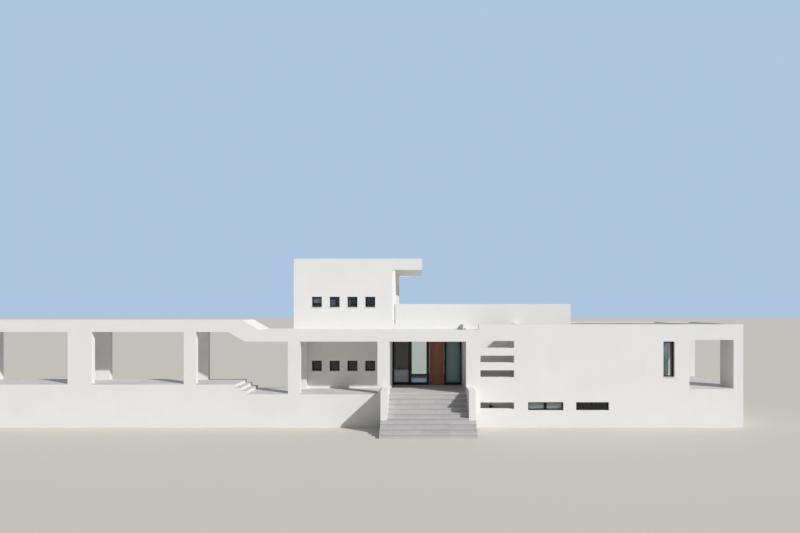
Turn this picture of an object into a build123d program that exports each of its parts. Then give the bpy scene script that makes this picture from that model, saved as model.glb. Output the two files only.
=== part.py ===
from build123d import *
import os

# A white beach house on one level, with a raised entrance, a two storey tower,
# a colonnaded walkway to the west and a long living wing to the east.
# Millimetres. +X runs east along the front, +Y runs from the front to the garden
# side, +Z is up. The origin is at ground level under the middle of the plan.

# Entrance stair
RISER = 176.0
RISERS = 9
TREAD = 306.0
STEPS_BETWEEN_CHEEKS = 6
TREAD_STONE = 40.0
RISER_STONE = 20.0
CHEEK_T = 300.0
CHEEK_SETBACK = 330.0
CHEEK_RISE = 320.0
STAIR_CLEAR_W = 3600.0

# Walls, slabs and paving
WALL = 300.0
SLAB = 200.0
PAVING = 40.0
ROOF_SLAB = 180.0

# Colonnade, measured along the front from the entrance
ENTRANCE_BAY = 3560.0
COLUMN_W = 560.0
CORNER_COLUMN_W = 600.0
PORTICO_BAY = 3600.0
WALKWAY_BAY = 4280.0
WALKWAY_BAYS = 3
JUNCTION_PIER_W = 1120.0
PIER_DEPTH = 300.0
PASSAGE_W = 1350.0
SOFFIT = 2410.0
BEAM_DEPTH = 550.0

# Walkway west of the portico, three risers higher
WALK_RISER = 150.0
WALK_RISERS = 3
WALK_TREAD = 280.0
WALK_STEP_OFFSET = 1900.0
SLOPE_RUN = 780.0
SLOPE_LEAD = 100.0
BEAM_TOP_LAG = 660.0

# Tower, its front wall in line with the back of the rear piers; above the hall
# roof its east wall steps out, and its front corner there is splayed
TOWER_W = 4844.0
TOWER_DEPTH = 5550.0
STOREY = 3170.0
TOWER_TOP = 6420.0
TOWER_ROOF_EDGE = 555.0
TOWER_ROOF_SLAB = 250.0
UPPER_OUT = 186.0
SPLAY_W = 140.0
SPLAY_DEPTH = 50.0
OVERHANG = 1327.0
UPSTAND_T = 250.0

# Small square windows of the tower, four in a row on each storey, measured from
# the east wall
SMALL_WINDOW_W = 496.0
SMALL_WINDOW_H = 506.0
SMALL_WINDOWS = 4
SMALL_WINDOW_PITCH = 883.0
SMALL_WINDOW_SILL = 850.0
SMALL_WINDOW_INSET = 808.0

# Entrance hall with its roof terrace
RECESS = 1250.0
HALL_W = 8890.0
HALL_ROOF = 250.0
INNER_LINTEL = 450.0
PARAPET = 1000.0
PARAPET_T = 250.0
ROOF_DOOR_W = 1000.0
ROOF_DOOR_H = 2100.0
ROOF_DOOR_MARGIN = 900.0

# Entrance and garden screens of dark metal and glass
JAMB_W = 55.0
POST_W = 95.0
FRAME_DEPTH = 90.0
HEAD_RAIL = 70.0
FOOT_RAIL = 120.0
GLASS_T = 24.0
WEST_BAY = 770.0
CLEAR_BAY = 870.0
DOOR_BAY = 775.0

# Entrance door, hung on its east edge and opening inwards
DOOR_T = 56.0
DOOR_GAP = 8.0
SILL_RAIL = 20.0
HINGE_R = 9.0
HINGE_LEAF_T = 3.0
HINGE_KNUCKLE = 40.0
HINGE_PLAY = 0.3
HINGE_CLEAR = 1.5
HINGE_OFFSET = 2.0
HINGE_PLATE = 44.0
HINGES = 3
HANDLE_R = 12.0
HANDLE_LENGTH = 900.0
HANDLE_STANDOFF = 55.0
HANDLE_INSET = 85.0
HANDLE_FOOT = 60.0
HANDLE_STEM = 0.7

# Light well behind the slotted wall
WELL_W = 1870.0
SLOT_L = 1573.0
SLOT_H = 330.0
SLOT_PITCH = 682.0
SLOT_MARGIN = 67.0
TOP_SLOT_HEAD = 2443.0
UPPER_SLOTS = 3
LOW_SLOT_HEAD = -415.0
LOW_SLOT_H = 305.0

# Living wing
LIVING_W = 7910.0
LIVING_DEPTH = 5400.0
LIVING_TOP = 3210.0
KERB = 100.0
KERB_T = 200.0
KERB_OFFSET = 300.0
LIVING_FLOOR = 250.0
TALL_WINDOW_W = 520.0
TALL_WINDOW_SILL = 770.0
TALL_WINDOW_H = 1645.0
TALL_WINDOW_MARGIN = 690.0
BASEMENT_WINDOW_H = 380.0
BASEMENT_WINDOW_HEAD = -405.0
WEST_BASEMENT_W = 1640.0
EAST_BASEMENT_W = 1525.0
WEST_BASEMENT_OFFSET = 415.0
BASEMENT_SPACING = 590.0
GARDEN_WINDOWS = 3

# Covered terrace at the east end
TERRACE_OPENING = 2050.0
END_PIER_W = 450.0
END_PIER_DEPTH = 1300.0
TERRACE_SOFFIT = 2490.0
TERRACE_DOOR_W = 2400.0

# Window frames and sills
FRAME_W = 45.0
FRAME_T = 60.0
FRAME_INSET = 120.0
PANE_T = 20.0
SILL_T = 30.0
SILL_OUT = 25.0
SILL_EAR = 25.0
MULLION_W = 110.0
MULLION_FROM = 1100.0

# Levels above the foot of the stair
floor_z = RISER * RISERS
cheek_base_z = RISER * (RISERS - STEPS_BETWEEN_CHEEKS)
walk_floor_z = floor_z + WALK_RISER * WALK_RISERS
walk_lift = WALK_RISER * WALK_RISERS
soffit_z = floor_z + SOFFIT
portico_top_z = soffit_z + BEAM_DEPTH
walk_top_z = portico_top_z + walk_lift
upper_floor_z = floor_z + STOREY
parapet_z = upper_floor_z + PARAPET
tower_top_z = floor_z + TOWER_TOP
tower_soffit_z = tower_top_z - TOWER_ROOF_EDGE
living_top_z = floor_z + LIVING_TOP
living_roof_z = living_top_z - KERB
living_floor_z = floor_z + LIVING_FLOOR
terrace_soffit_z = floor_z + TERRACE_SOFFIT

# Reach of the plan from the entrance axis and from the front plane
walkway_reach = (
    ENTRANCE_BAY / 2 + COLUMN_W + PORTICO_BAY + COLUMN_W + WALKWAY_BAYS * WALKWAY_BAY
    + COLUMN_W + JUNCTION_PIER_W + COLUMN_W
)
east_reach = (
    ENTRANCE_BAY / 2 + CORNER_COLUMN_W + WELL_W + LIVING_W + TERRACE_OPENING + END_PIER_W
)
stair_reach = TREAD * (RISERS - 1) + RISER_STONE
back_reach = PIER_DEPTH + PASSAGE_W + PIER_DEPTH + TOWER_DEPTH + SILL_OUT
axis_x = (walkway_reach - east_reach) / 2
front_y = (stair_reach - back_reach) / 2

# Grid lines along X, from the entrance axis outwards
hall_w_x = axis_x - ENTRANCE_BAY / 2
bay_e_x = axis_x + ENTRANCE_BAY / 2
column_2 = (hall_w_x - COLUMN_W, hall_w_x)
column_1 = (column_2[0] - PORTICO_BAY - COLUMN_W, column_2[0] - PORTICO_BAY)
middle_pier = (column_1[0] - WALKWAY_BAY - COLUMN_W, column_1[0] - WALKWAY_BAY)
junction_pier = (middle_pier[0] - WALKWAY_BAY - JUNCTION_PIER_W, middle_pier[0] - WALKWAY_BAY)
end_pier_w = (junction_pier[0] - WALKWAY_BAY - COLUMN_W, junction_pier[0] - WALKWAY_BAY)
column_3 = (bay_e_x, bay_e_x + CORNER_COLUMN_W)
west_x = end_pier_w[0]
well_w_x = column_3[1]
living_w_x = well_w_x + WELL_W
living_e_x = living_w_x + LIVING_W
end_pier_x = living_e_x + TERRACE_OPENING
east_x = end_pier_x + END_PIER_W
tower_e_x = hall_w_x
tower_w_x = tower_e_x - TOWER_W
upper_e_x = tower_e_x + UPPER_OUT
tower_roof_e_x = upper_e_x + OVERHANG
hall_e_x = hall_w_x + HALL_W
walk_step_x = column_1[0] - WALK_STEP_OFFSET
walk_edge_x = walk_step_x - WALK_TREAD * (WALK_RISERS - 1)

# Grid lines along Y, from the front plane to the garden side
pier_back_y = front_y + PIER_DEPTH
rear_pier_y = pier_back_y + PASSAGE_W
walk_back_y = rear_pier_y + PIER_DEPTH
tower_y = walk_back_y
glazing_y = tower_y + RECESS
back_y = tower_y + TOWER_DEPTH
living_back_y = front_y + LIVING_DEPTH


def slab(x0, x1, y0, y1, z0, z1):
    """Adds an upright block between two corners to the part being built."""
    with BuildSketch(Plane.XY.offset(z0)) as plan:
        with Locations(((x0 + x1) / 2, (y0 + y1) / 2)):
            Rectangle(x1 - x0, y1 - y0)
    extrude(plan.sketch, amount=z1 - z0)


def front_panel(x0, x1, z0, z1, y0, y1, holes=()):
    """Adds a wall that faces the front, with rectangular holes (x0, x1, z0, z1)."""
    with BuildSketch(Plane.XZ.offset(-y0)) as elevation:
        with Locations(((x0 + x1) / 2, (z0 + z1) / 2)):
            Rectangle(x1 - x0, z1 - z0)
        for hx0, hx1, hz0, hz1 in holes:
            with Locations(((hx0 + hx1) / 2, (hz0 + hz1) / 2)):
                Rectangle(hx1 - hx0, hz1 - hz0, mode=Mode.SUBTRACT)
    extrude(elevation.sketch, amount=y0 - y1)


def side_panel(y0, y1, z0, z1, x0, x1, holes=()):
    """Adds a wall that faces east or west, with rectangular holes (y0, y1, z0, z1)."""
    with BuildSketch(Plane.YZ.offset(x0)) as elevation:
        with Locations(((y0 + y1) / 2, (z0 + z1) / 2)):
            Rectangle(y1 - y0, z1 - z0)
        for hy0, hy1, hz0, hz1 in holes:
            with Locations(((hy0 + hy1) / 2, (hz0 + hz1) / 2)):
                Rectangle(hy1 - hy0, hz1 - hz0, mode=Mode.SUBTRACT)
    extrude(elevation.sketch, amount=x1 - x0)


def front_profile(points, y0, y1):
    """Adds a solid whose outline is drawn on the front elevation, from points (x, z)."""
    with BuildSketch(Plane.XZ.offset(-y0)) as elevation:
        with BuildLine():
            Polyline(*points, close=True)
        make_face()
    extrude(elevation.sketch, amount=y0 - y1)


def save(builder, name):
    """Labels a finished piece and writes it under its own name."""
    builder.part.label = name
    export_step(builder.part, f"parts/{name}.step")


def inside(hole, width):
    """Gives the opening left inside a frame of one width."""
    u0, u1, z0, z1 = hole
    return (u0 + width, u1 - width, z0 + width, z1 - width)


os.makedirs("parts", exist_ok=True)

# Walkway and portico plinths
with BuildPart() as walkway_plinth:
    slab(west_x, walk_edge_x, front_y, pier_back_y, 0, walk_floor_z - PAVING)
    slab(west_x, walk_edge_x, rear_pier_y, walk_back_y, 0, walk_floor_z - PAVING)
    slab(west_x, west_x + WALL, pier_back_y, rear_pier_y, 0, walk_floor_z - PAVING - SLAB)
save(walkway_plinth, "walkway_plinth")

with BuildPart() as portico_plinth:
    slab(walk_edge_x, well_w_x, front_y, pier_back_y, 0, floor_z - PAVING)
    slab(well_w_x - WALL, well_w_x, pier_back_y, tower_y, 0, floor_z - PAVING - SLAB)
    slab(walk_edge_x, tower_w_x, rear_pier_y, walk_back_y, 0, floor_z - PAVING)
    slab(tower_w_x, tower_w_x + WALL, rear_pier_y, tower_y, 0, floor_z - PAVING - SLAB)
save(portico_plinth, "portico_plinth")

# Two blocks carry the middle treads down from the walkway to the portico
with BuildPart() as walkway_step_blocks:
    for i in range(1, WALK_RISERS):
        x0 = walk_edge_x + (i - 1) * WALK_TREAD
        top_z = walk_floor_z - i * WALK_RISER - PAVING
        slab(x0, x0 + WALK_TREAD, front_y, walk_back_y, floor_z - PAVING, top_z)
save(walkway_step_blocks, "walkway_step_blocks")

# Concrete slabs under the paving of the walkway, the portico and the east terrace
with BuildPart() as porch_slabs:
    walk_slab_z = walk_floor_z - PAVING - SLAB
    slab(west_x, walk_edge_x, pier_back_y, rear_pier_y, walk_slab_z, walk_slab_z + SLAB)
    porch_slab_z = floor_z - PAVING - SLAB
    slab(walk_edge_x, tower_w_x, pier_back_y, rear_pier_y, porch_slab_z, porch_slab_z + SLAB)
    slab(tower_w_x, well_w_x, pier_back_y, tower_y, porch_slab_z, porch_slab_z + SLAB)
    slab(hall_w_x, bay_e_x, tower_y, glazing_y, porch_slab_z, porch_slab_z + SLAB)
    terrace_slab_z = living_floor_z - PAVING - SLAB
    slab(
        living_e_x, end_pier_x, pier_back_y, living_back_y - WALL,
        terrace_slab_z, terrace_slab_z + SLAB,
    )
save(porch_slabs, "porch_slabs")

# Grey stone paving, cut round the piers, and the two middle treads of the walkway
walk_pier_plans = [
    (x0, x1, y0, y1)
    for x0, x1 in (end_pier_w, junction_pier, middle_pier)
    for y0, y1 in ((front_y, pier_back_y), (rear_pier_y, walk_back_y))
]
portico_pier_plans = [
    (x0, x1, front_y, pier_back_y) for x0, x1 in (column_1, column_2, column_3)
] + [(column_1[0], column_1[1], rear_pier_y, tower_y)]
end_pier_plan = (end_pier_x, east_x, front_y, front_y + END_PIER_DEPTH)


def cut_round_piers(plans, z0):
    """Cuts the paving where piers stand in it."""
    with BuildSketch(Plane.XY.offset(z0)) as plan:
        for x0, x1, y0, y1 in plans:
            with Locations(((x0 + x1) / 2, (y0 + y1) / 2)):
                Rectangle(x1 - x0, y1 - y0)
    extrude(plan.sketch, amount=PAVING, mode=Mode.SUBTRACT)


with BuildPart() as porch_paving:
    walk_paving_z = walk_floor_z - PAVING
    slab(west_x, walk_edge_x, front_y, walk_back_y, walk_paving_z, walk_floor_z)
    cut_round_piers(walk_pier_plans, walk_paving_z)
    for i in range(1, WALK_RISERS):
        x0 = walk_edge_x + (i - 1) * WALK_TREAD
        top_z = walk_floor_z - i * WALK_RISER
        slab(x0, x0 + WALK_TREAD, front_y, walk_back_y, top_z - PAVING, top_z)
    porch_paving_z = floor_z - PAVING
    slab(walk_step_x, tower_w_x, front_y, walk_back_y, porch_paving_z, floor_z)
    slab(tower_w_x, well_w_x, front_y, tower_y, porch_paving_z, floor_z)
    slab(hall_w_x, bay_e_x, tower_y, glazing_y, porch_paving_z, floor_z)
    slab(
        axis_x - STAIR_CLEAR_W / 2, axis_x + STAIR_CLEAR_W / 2,
        front_y - RISER_STONE, front_y, porch_paving_z, floor_z,
    )
    cut_round_piers(portico_pier_plans, porch_paving_z)
    terrace_paving_z = living_floor_z - PAVING
    slab(living_e_x, east_x, front_y, living_back_y - WALL, terrace_paving_z, living_floor_z)
    cut_round_piers([end_pier_plan], terrace_paving_z)
save(porch_paving, "porch_paving")

# Square white piers, front and rear rows
with BuildPart() as colonnade_piers:
    for x0, x1, y0, y1 in walk_pier_plans:
        slab(x0, x1, y0, y1, walk_floor_z - PAVING, soffit_z + walk_lift)
    for x0, x1, y0, y1 in portico_pier_plans[:-1]:
        slab(x0, x1, y0, y1, floor_z - PAVING, soffit_z)
save(colonnade_piers, "colonnade_piers")

with BuildPart() as portico_rear_pier:
    slab(*portico_pier_plans[-1], floor_z - PAVING, soffit_z)
save(portico_rear_pier, "portico_rear_pier")

# Edge beams: one line from the west end, down the slope, to the entrance
slope_e_x = walk_step_x - SLOPE_LEAD
slope_w_x = slope_e_x - SLOPE_RUN


def roof_edge(end_x, depth):
    """Outline of the sloping roof edge, as deep as given below its top line."""
    lag = BEAM_TOP_LAG * (BEAM_DEPTH - depth) / BEAM_DEPTH
    return [
        (west_x, walk_top_z),
        (slope_w_x + BEAM_TOP_LAG, walk_top_z),
        (slope_e_x + BEAM_TOP_LAG, portico_top_z),
        (end_x, portico_top_z),
        (end_x, portico_top_z - depth),
        (slope_e_x + lag, portico_top_z - depth),
        (slope_w_x + lag, walk_top_z - depth),
        (west_x, walk_top_z - depth),
    ]


with BuildPart() as front_beam:
    front_profile(roof_edge(column_3[1], BEAM_DEPTH), front_y, pier_back_y)
save(front_beam, "front_beam")

with BuildPart() as rear_beam:
    front_profile(roof_edge(column_1[1], BEAM_DEPTH), rear_pier_y, walk_back_y)
save(rear_beam, "rear_beam")

with BuildPart() as colonnade_roof:
    front_profile(roof_edge(column_1[1], ROOF_SLAB), pier_back_y, rear_pier_y)
    slab(column_1[1], well_w_x, pier_back_y, tower_y, portico_top_z - ROOF_SLAB, portico_top_z)
save(colonnade_roof, "colonnade_roof")

with BuildPart() as walkway_cross_beams:
    for x0, x1 in (end_pier_w, junction_pier, middle_pier):
        slab(
            x0, x1, pier_back_y, rear_pier_y,
            walk_top_z - BEAM_DEPTH, walk_top_z - ROOF_SLAB,
        )
save(walkway_cross_beams, "walkway_cross_beams")

# Entrance stair: a stepped core, stone treads and risers, two cheek walls
low_steps = RISERS - STEPS_BETWEEN_CHEEKS
stair_half = STAIR_CLEAR_W / 2
stair_outer = stair_half + CHEEK_T
stair_sides = (axis_x - stair_outer, axis_x + stair_half)


def nosing_y(step):
    """Front of a step, counted from the ground up."""
    return front_y - RISER_STONE - TREAD * (RISERS - step)


def stair_outline(steps):
    """Side outline of the core, up to a number of steps from the ground."""
    points = [(front_y, 0), (nosing_y(1) + RISER_STONE, 0)]
    for step in range(1, steps + 1):
        top_z = RISER * step - TREAD_STONE
        points.append((nosing_y(step) + RISER_STONE, top_z))
        if step < steps:
            points.append((nosing_y(step + 1) + RISER_STONE, top_z))
    points.append((front_y, RISER * steps - TREAD_STONE))
    return points


cheek_y = nosing_y(low_steps + 1) + CHEEK_SETBACK

with BuildPart() as stair_core:
    with BuildSketch(Plane.YZ.offset(axis_x - stair_half)):
        with BuildLine():
            Polyline(*stair_outline(RISERS - 1), close=True)
        make_face()
    extrude(amount=STAIR_CLEAR_W)
    for x0 in stair_sides:
        with BuildSketch(Plane.YZ.offset(x0)):
            with BuildLine():
                Polyline(*stair_outline(low_steps), close=True)
            make_face()
        extrude(amount=CHEEK_T)
save(stair_core, "stair_core")

with BuildPart() as stair_treads:
    for step in range(1, RISERS):
        half = stair_outer if step <= low_steps else stair_half
        top_z = RISER * step
        back = nosing_y(step + 1) + RISER_STONE
        slab(axis_x - half, axis_x + half, nosing_y(step), back, top_z - TREAD_STONE, top_z)
    for x0 in stair_sides:
        y0 = nosing_y(low_steps + 1) + RISER_STONE
        slab(x0, x0 + CHEEK_T, y0, cheek_y, cheek_base_z - TREAD_STONE, cheek_base_z)
save(stair_treads, "stair_treads")

with BuildPart() as stair_risers:
    for step in range(1, RISERS + 1):
        half = stair_outer if step <= low_steps else stair_half
        y0 = nosing_y(step)
        z0 = RISER * (step - 1)
        slab(axis_x - half, axis_x + half, y0, y0 + RISER_STONE, z0, z0 + RISER - TREAD_STONE)
save(stair_risers, "stair_risers")

with BuildPart() as stair_cheeks:
    for x0 in stair_sides:
        slab(x0, x0 + CHEEK_T, cheek_y, front_y, cheek_base_z - TREAD_STONE, floor_z + CHEEK_RISE)
save(stair_cheeks, "stair_cheeks")

# Tower walls, with four small windows on each storey of the front and of the back
window_row = []
for i in range(SMALL_WINDOWS):
    x1 = tower_e_x - SMALL_WINDOW_INSET - i * SMALL_WINDOW_PITCH
    window_row.append((x1 - SMALL_WINDOW_W, x1))
lower_windows, upper_windows = [
    [(x0, x1, z0, z0 + SMALL_WINDOW_H) for x0, x1 in window_row]
    for z0 in (floor_z + SMALL_WINDOW_SILL, upper_floor_z + SMALL_WINDOW_SILL)
]
small_windows = lower_windows + upper_windows
roof_door = (
    back_y - WALL - ROOF_DOOR_MARGIN - ROOF_DOOR_W,
    back_y - WALL - ROOF_DOOR_MARGIN,
    upper_floor_z,
    upper_floor_z + ROOF_DOOR_H,
)


def tower_panel(y0, y1):
    """Adds a front or back wall of the tower, wider above the level of the hall roof."""
    front_panel(tower_w_x, tower_e_x, 0, upper_floor_z, y0, y1, lower_windows)
    front_panel(tower_w_x, upper_e_x, upper_floor_z, tower_soffit_z, y0, y1, upper_windows)


with BuildPart() as tower_front_wall:
    tower_panel(tower_y, tower_y + WALL)
    with BuildSketch(Plane.XY.offset(upper_floor_z)):
        with BuildLine():
            Polyline(
                (upper_e_x - SPLAY_W, tower_y), (upper_e_x, tower_y),
                (upper_e_x, tower_y + SPLAY_DEPTH), close=True,
            )
        make_face()
    extrude(amount=tower_soffit_z - upper_floor_z, mode=Mode.SUBTRACT)
save(tower_front_wall, "tower_front_wall")

with BuildPart() as tower_back_wall:
    tower_panel(back_y - WALL, back_y)
save(tower_back_wall, "tower_back_wall")

with BuildPart() as tower_west_wall:
    side_panel(tower_y + WALL, back_y - WALL, 0, tower_soffit_z, tower_w_x, tower_w_x + WALL)
save(tower_west_wall, "tower_west_wall")

# The upper east wall stands on a deep lintel, and that on a short wall beside the
# entrance
with BuildPart() as tower_east_wall:
    side_panel(
        tower_y + WALL, back_y - WALL, upper_floor_z, tower_soffit_z,
        upper_e_x - WALL, upper_e_x, [roof_door],
    )
    side_panel(
        tower_y + WALL, back_y - WALL, upper_floor_z - INNER_LINTEL, upper_floor_z,
        tower_e_x - WALL, tower_e_x,
    )
    side_panel(
        tower_y + WALL, glazing_y + WALL, 0, upper_floor_z - INNER_LINTEL,
        tower_e_x - WALL, tower_e_x,
    )
save(tower_east_wall, "tower_east_wall")

with BuildPart() as tower_upper_floor:
    slab(
        tower_w_x + WALL, tower_e_x - WALL, tower_y + WALL, back_y - WALL,
        upper_floor_z - SLAB, upper_floor_z,
    )
save(tower_upper_floor, "tower_upper_floor")

# Flat roof that runs on past the east wall as an overhang
with BuildPart() as tower_roof:
    slab(
        tower_w_x, tower_roof_e_x, tower_y, back_y,
        tower_soffit_z, tower_soffit_z + TOWER_ROOF_SLAB,
    )
save(tower_roof, "tower_roof")

with BuildPart() as tower_roof_upstand:
    upstand_z = tower_soffit_z + TOWER_ROOF_SLAB
    slab(tower_w_x, tower_roof_e_x, tower_y, back_y, upstand_z, tower_top_z)
    top_face = tower_roof_upstand.faces().sort_by(Axis.Z)[-1]
    with BuildSketch(top_face):
        Rectangle(tower_roof_e_x - tower_w_x - 2 * UPSTAND_T, TOWER_DEPTH - 2 * UPSTAND_T)
    extrude(amount=upstand_z - tower_top_z, mode=Mode.SUBTRACT)
save(tower_roof_upstand, "tower_roof_upstand")

# Entrance hall: walls, lintels, floor and the roof terrace
hall_ceiling_z = upper_floor_z - HALL_ROOF

with BuildPart() as hall_front_wall:
    slab(bay_e_x, living_w_x + WALL, tower_y, tower_y + WALL, 0, hall_ceiling_z)
    slab(bay_e_x, bay_e_x + WALL, tower_y + WALL, glazing_y + WALL, 0, hall_ceiling_z)
save(hall_front_wall, "hall_front_wall")

with BuildPart() as hall_lintels:
    slab(hall_w_x, bay_e_x, glazing_y, glazing_y + WALL, soffit_z, hall_ceiling_z)
    slab(hall_w_x, bay_e_x, back_y - WALL, back_y, soffit_z, hall_ceiling_z)
save(hall_lintels, "hall_lintels")

with BuildPart() as hall_back_wall:
    slab(bay_e_x, hall_e_x, back_y - WALL, back_y, 0, hall_ceiling_z)
    slab(hall_w_x, bay_e_x, back_y - WALL, back_y, 0, floor_z)
save(hall_back_wall, "hall_back_wall")

with BuildPart() as hall_east_wall:
    slab(hall_e_x - WALL, hall_e_x, living_back_y - WALL, back_y - WALL, 0, hall_ceiling_z)
save(hall_east_wall, "hall_east_wall")

with BuildPart() as hall_roof:
    slab(hall_w_x, hall_e_x, tower_y, back_y, hall_ceiling_z, upper_floor_z)
save(hall_roof, "hall_roof")

with BuildPart() as roof_terrace_parapet:
    slab(upper_e_x, hall_e_x, tower_y, tower_y + PARAPET_T, upper_floor_z, parapet_z)
    slab(upper_e_x, hall_e_x, back_y - PARAPET_T, back_y, upper_floor_z, parapet_z)
    slab(
        hall_e_x - PARAPET_T, hall_e_x, tower_y + PARAPET_T, back_y - PARAPET_T,
        upper_floor_z, parapet_z,
    )
save(roof_terrace_parapet, "roof_terrace_parapet")

# Floors indoors; the living wing lies one step higher than the hall
hall_slab_z = floor_z - SLAB
inner_back_y = back_y - WALL

with BuildPart() as hall_floor:
    slab(
        tower_w_x + WALL, tower_e_x - WALL, tower_y + WALL, inner_back_y,
        hall_slab_z, floor_z,
    )
    slab(
        tower_e_x - WALL, hall_w_x, glazing_y + WALL, inner_back_y, hall_slab_z, floor_z,
    )
    slab(hall_w_x, bay_e_x, glazing_y, inner_back_y, hall_slab_z, floor_z)
    slab(bay_e_x, bay_e_x + WALL, glazing_y + WALL, inner_back_y, hall_slab_z, floor_z)
    slab(
        bay_e_x + WALL, living_w_x + WALL, tower_y + WALL, inner_back_y,
        hall_slab_z, floor_z,
    )
    slab(
        living_w_x + WALL, hall_e_x - WALL, living_back_y - WALL, inner_back_y,
        hall_slab_z, floor_z,
    )
save(hall_floor, "hall_floor")

with BuildPart() as living_floor:
    slab(
        living_w_x + WALL, living_e_x - WALL, pier_back_y, living_back_y - WALL,
        hall_slab_z, living_floor_z,
    )
save(living_floor, "living_floor")

# Slotted wall in front of the light well
slots = []
slot_x = well_w_x + SLOT_MARGIN
for i in range(UPPER_SLOTS):
    slot_z = floor_z + TOP_SLOT_HEAD - i * SLOT_PITCH
    slots.append((slot_x, slot_x + SLOT_L, slot_z - SLOT_H, slot_z))
slot_z = floor_z + LOW_SLOT_HEAD
slots.append((slot_x, slot_x + SLOT_L, slot_z - LOW_SLOT_H, slot_z))

with BuildPart() as slotted_wall:
    front_panel(well_w_x, living_w_x, 0, living_top_z, front_y, pier_back_y, slots)
save(slotted_wall, "slotted_wall")

with BuildPart() as light_well_walls:
    slab(living_w_x, living_w_x + WALL, pier_back_y, tower_y, 0, living_top_z)
    slab(
        well_w_x - WALL, well_w_x, pier_back_y, tower_y, floor_z, portico_top_z - ROOF_SLAB,
    )
save(light_well_walls, "light_well_walls")

# Living wing walls and roof
tall_window = (
    living_e_x - TALL_WINDOW_MARGIN - TALL_WINDOW_W,
    living_e_x - TALL_WINDOW_MARGIN,
    floor_z + TALL_WINDOW_SILL,
    floor_z + TALL_WINDOW_SILL + TALL_WINDOW_H,
)
basement_z = floor_z + BASEMENT_WINDOW_HEAD
west_basement_x = living_w_x + WEST_BASEMENT_OFFSET
east_basement_x = west_basement_x + WEST_BASEMENT_W + BASEMENT_SPACING
basement_windows = [
    (x0, x0 + width, basement_z - BASEMENT_WINDOW_H, basement_z)
    for x0, width in ((west_basement_x, WEST_BASEMENT_W), (east_basement_x, EAST_BASEMENT_W))
]
garden_pitch = (living_e_x - hall_e_x) / GARDEN_WINDOWS
garden_windows = [
    (
        hall_e_x + garden_pitch * (i + 0.5) - TALL_WINDOW_W / 2,
        hall_e_x + garden_pitch * (i + 0.5) + TALL_WINDOW_W / 2,
        tall_window[2],
        tall_window[3],
    )
    for i in range(GARDEN_WINDOWS)
]
wing_mid_y = (pier_back_y + living_back_y - WALL) / 2
terrace_door = (
    wing_mid_y - TERRACE_DOOR_W / 2, wing_mid_y + TERRACE_DOOR_W / 2,
    living_floor_z, terrace_soffit_z,
)
living_ceiling_z = living_roof_z - SLAB

with BuildPart() as living_front_wall:
    front_panel(
        living_w_x, living_e_x, 0, living_top_z, front_y, pier_back_y,
        [tall_window] + basement_windows,
    )
save(living_front_wall, "living_front_wall")

with BuildPart() as living_back_wall:
    front_panel(
        hall_e_x, east_x, 0, living_top_z, living_back_y - WALL, living_back_y, garden_windows,
    )
save(living_back_wall, "living_back_wall")

with BuildPart() as living_end_wall:
    side_panel(
        pier_back_y, living_back_y - WALL, 0, living_ceiling_z,
        living_e_x - WALL, living_e_x, [terrace_door],
    )
save(living_end_wall, "living_end_wall")

with BuildPart() as living_roof:
    slab(
        living_w_x + WALL, hall_e_x, pier_back_y, tower_y, living_ceiling_z, living_roof_z,
    )
    slab(
        hall_e_x, east_x - WALL, pier_back_y, living_back_y - WALL,
        living_ceiling_z, living_roof_z,
    )
    kerb_x = living_e_x + KERB_OFFSET
    slab(
        kerb_x, kerb_x + KERB_T, pier_back_y, living_back_y - WALL,
        living_roof_z, living_top_z,
    )
save(living_roof, "living_roof")

# Covered terrace at the east end
with BuildPart() as terrace_pier:
    slab(*end_pier_plan, 0, terrace_soffit_z)
save(terrace_pier, "terrace_pier")

with BuildPart() as terrace_plinth:
    slab(living_e_x, end_pier_x, front_y, pier_back_y, 0, living_floor_z - PAVING)
    slab(
        end_pier_x, east_x, end_pier_plan[3], living_back_y - WALL, 0, living_floor_z - PAVING,
    )
save(terrace_plinth, "terrace_plinth")

with BuildPart() as terrace_beams:
    slab(living_e_x, east_x, front_y, pier_back_y, terrace_soffit_z, living_top_z)
    slab(
        east_x - WALL, east_x, pier_back_y, living_back_y - WALL,
        terrace_soffit_z, living_top_z,
    )
save(terrace_beams, "terrace_beams")

# Dark metal screens with glass, one at the entrance and one on the garden side
post_w_x = [hall_w_x]
post_e_x = [hall_w_x + JAMB_W]
for bay in (WEST_BAY, CLEAR_BAY, DOOR_BAY):
    post_w_x.append(post_e_x[-1] + bay)
    post_e_x.append(post_w_x[-1] + POST_W)
post_w_x.append(bay_e_x - JAMB_W)
post_e_x.append(bay_e_x)
bays = list(zip(post_e_x[:-1], post_w_x[1:]))
door_bay = bays[2]
garden_frame_y = back_y - FRAME_INSET - FRAME_DEPTH
head_z = soffit_z - HEAD_RAIL

with BuildPart() as screen_posts:
    for y0 in (glazing_y, garden_frame_y):
        for x0, x1 in zip(post_w_x, post_e_x):
            slab(x0, x1, y0, y0 + FRAME_DEPTH, floor_z, head_z)
save(screen_posts, "screen_posts")

with BuildPart() as screen_rails:
    for y0 in (glazing_y, garden_frame_y):
        slab(hall_w_x, bay_e_x, y0, y0 + FRAME_DEPTH, head_z, soffit_z)
        for x0, x1 in bays:
            is_door = y0 == glazing_y and (x0, x1) == door_bay
            rail = SILL_RAIL if is_door else FOOT_RAIL
            slab(x0, x1, y0, y0 + FRAME_DEPTH, floor_z, floor_z + rail)
save(screen_rails, "screen_rails")

with BuildPart() as screen_glass:
    for y0 in (glazing_y, garden_frame_y):
        for x0, x1 in bays:
            if y0 == glazing_y and (x0, x1) == door_bay:
                continue
            pane_y = y0 + (FRAME_DEPTH - GLASS_T) / 2
            slab(x0, x1, pane_y, pane_y + GLASS_T, floor_z + FOOT_RAIL, head_z)
save(screen_glass, "screen_glass")

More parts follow.
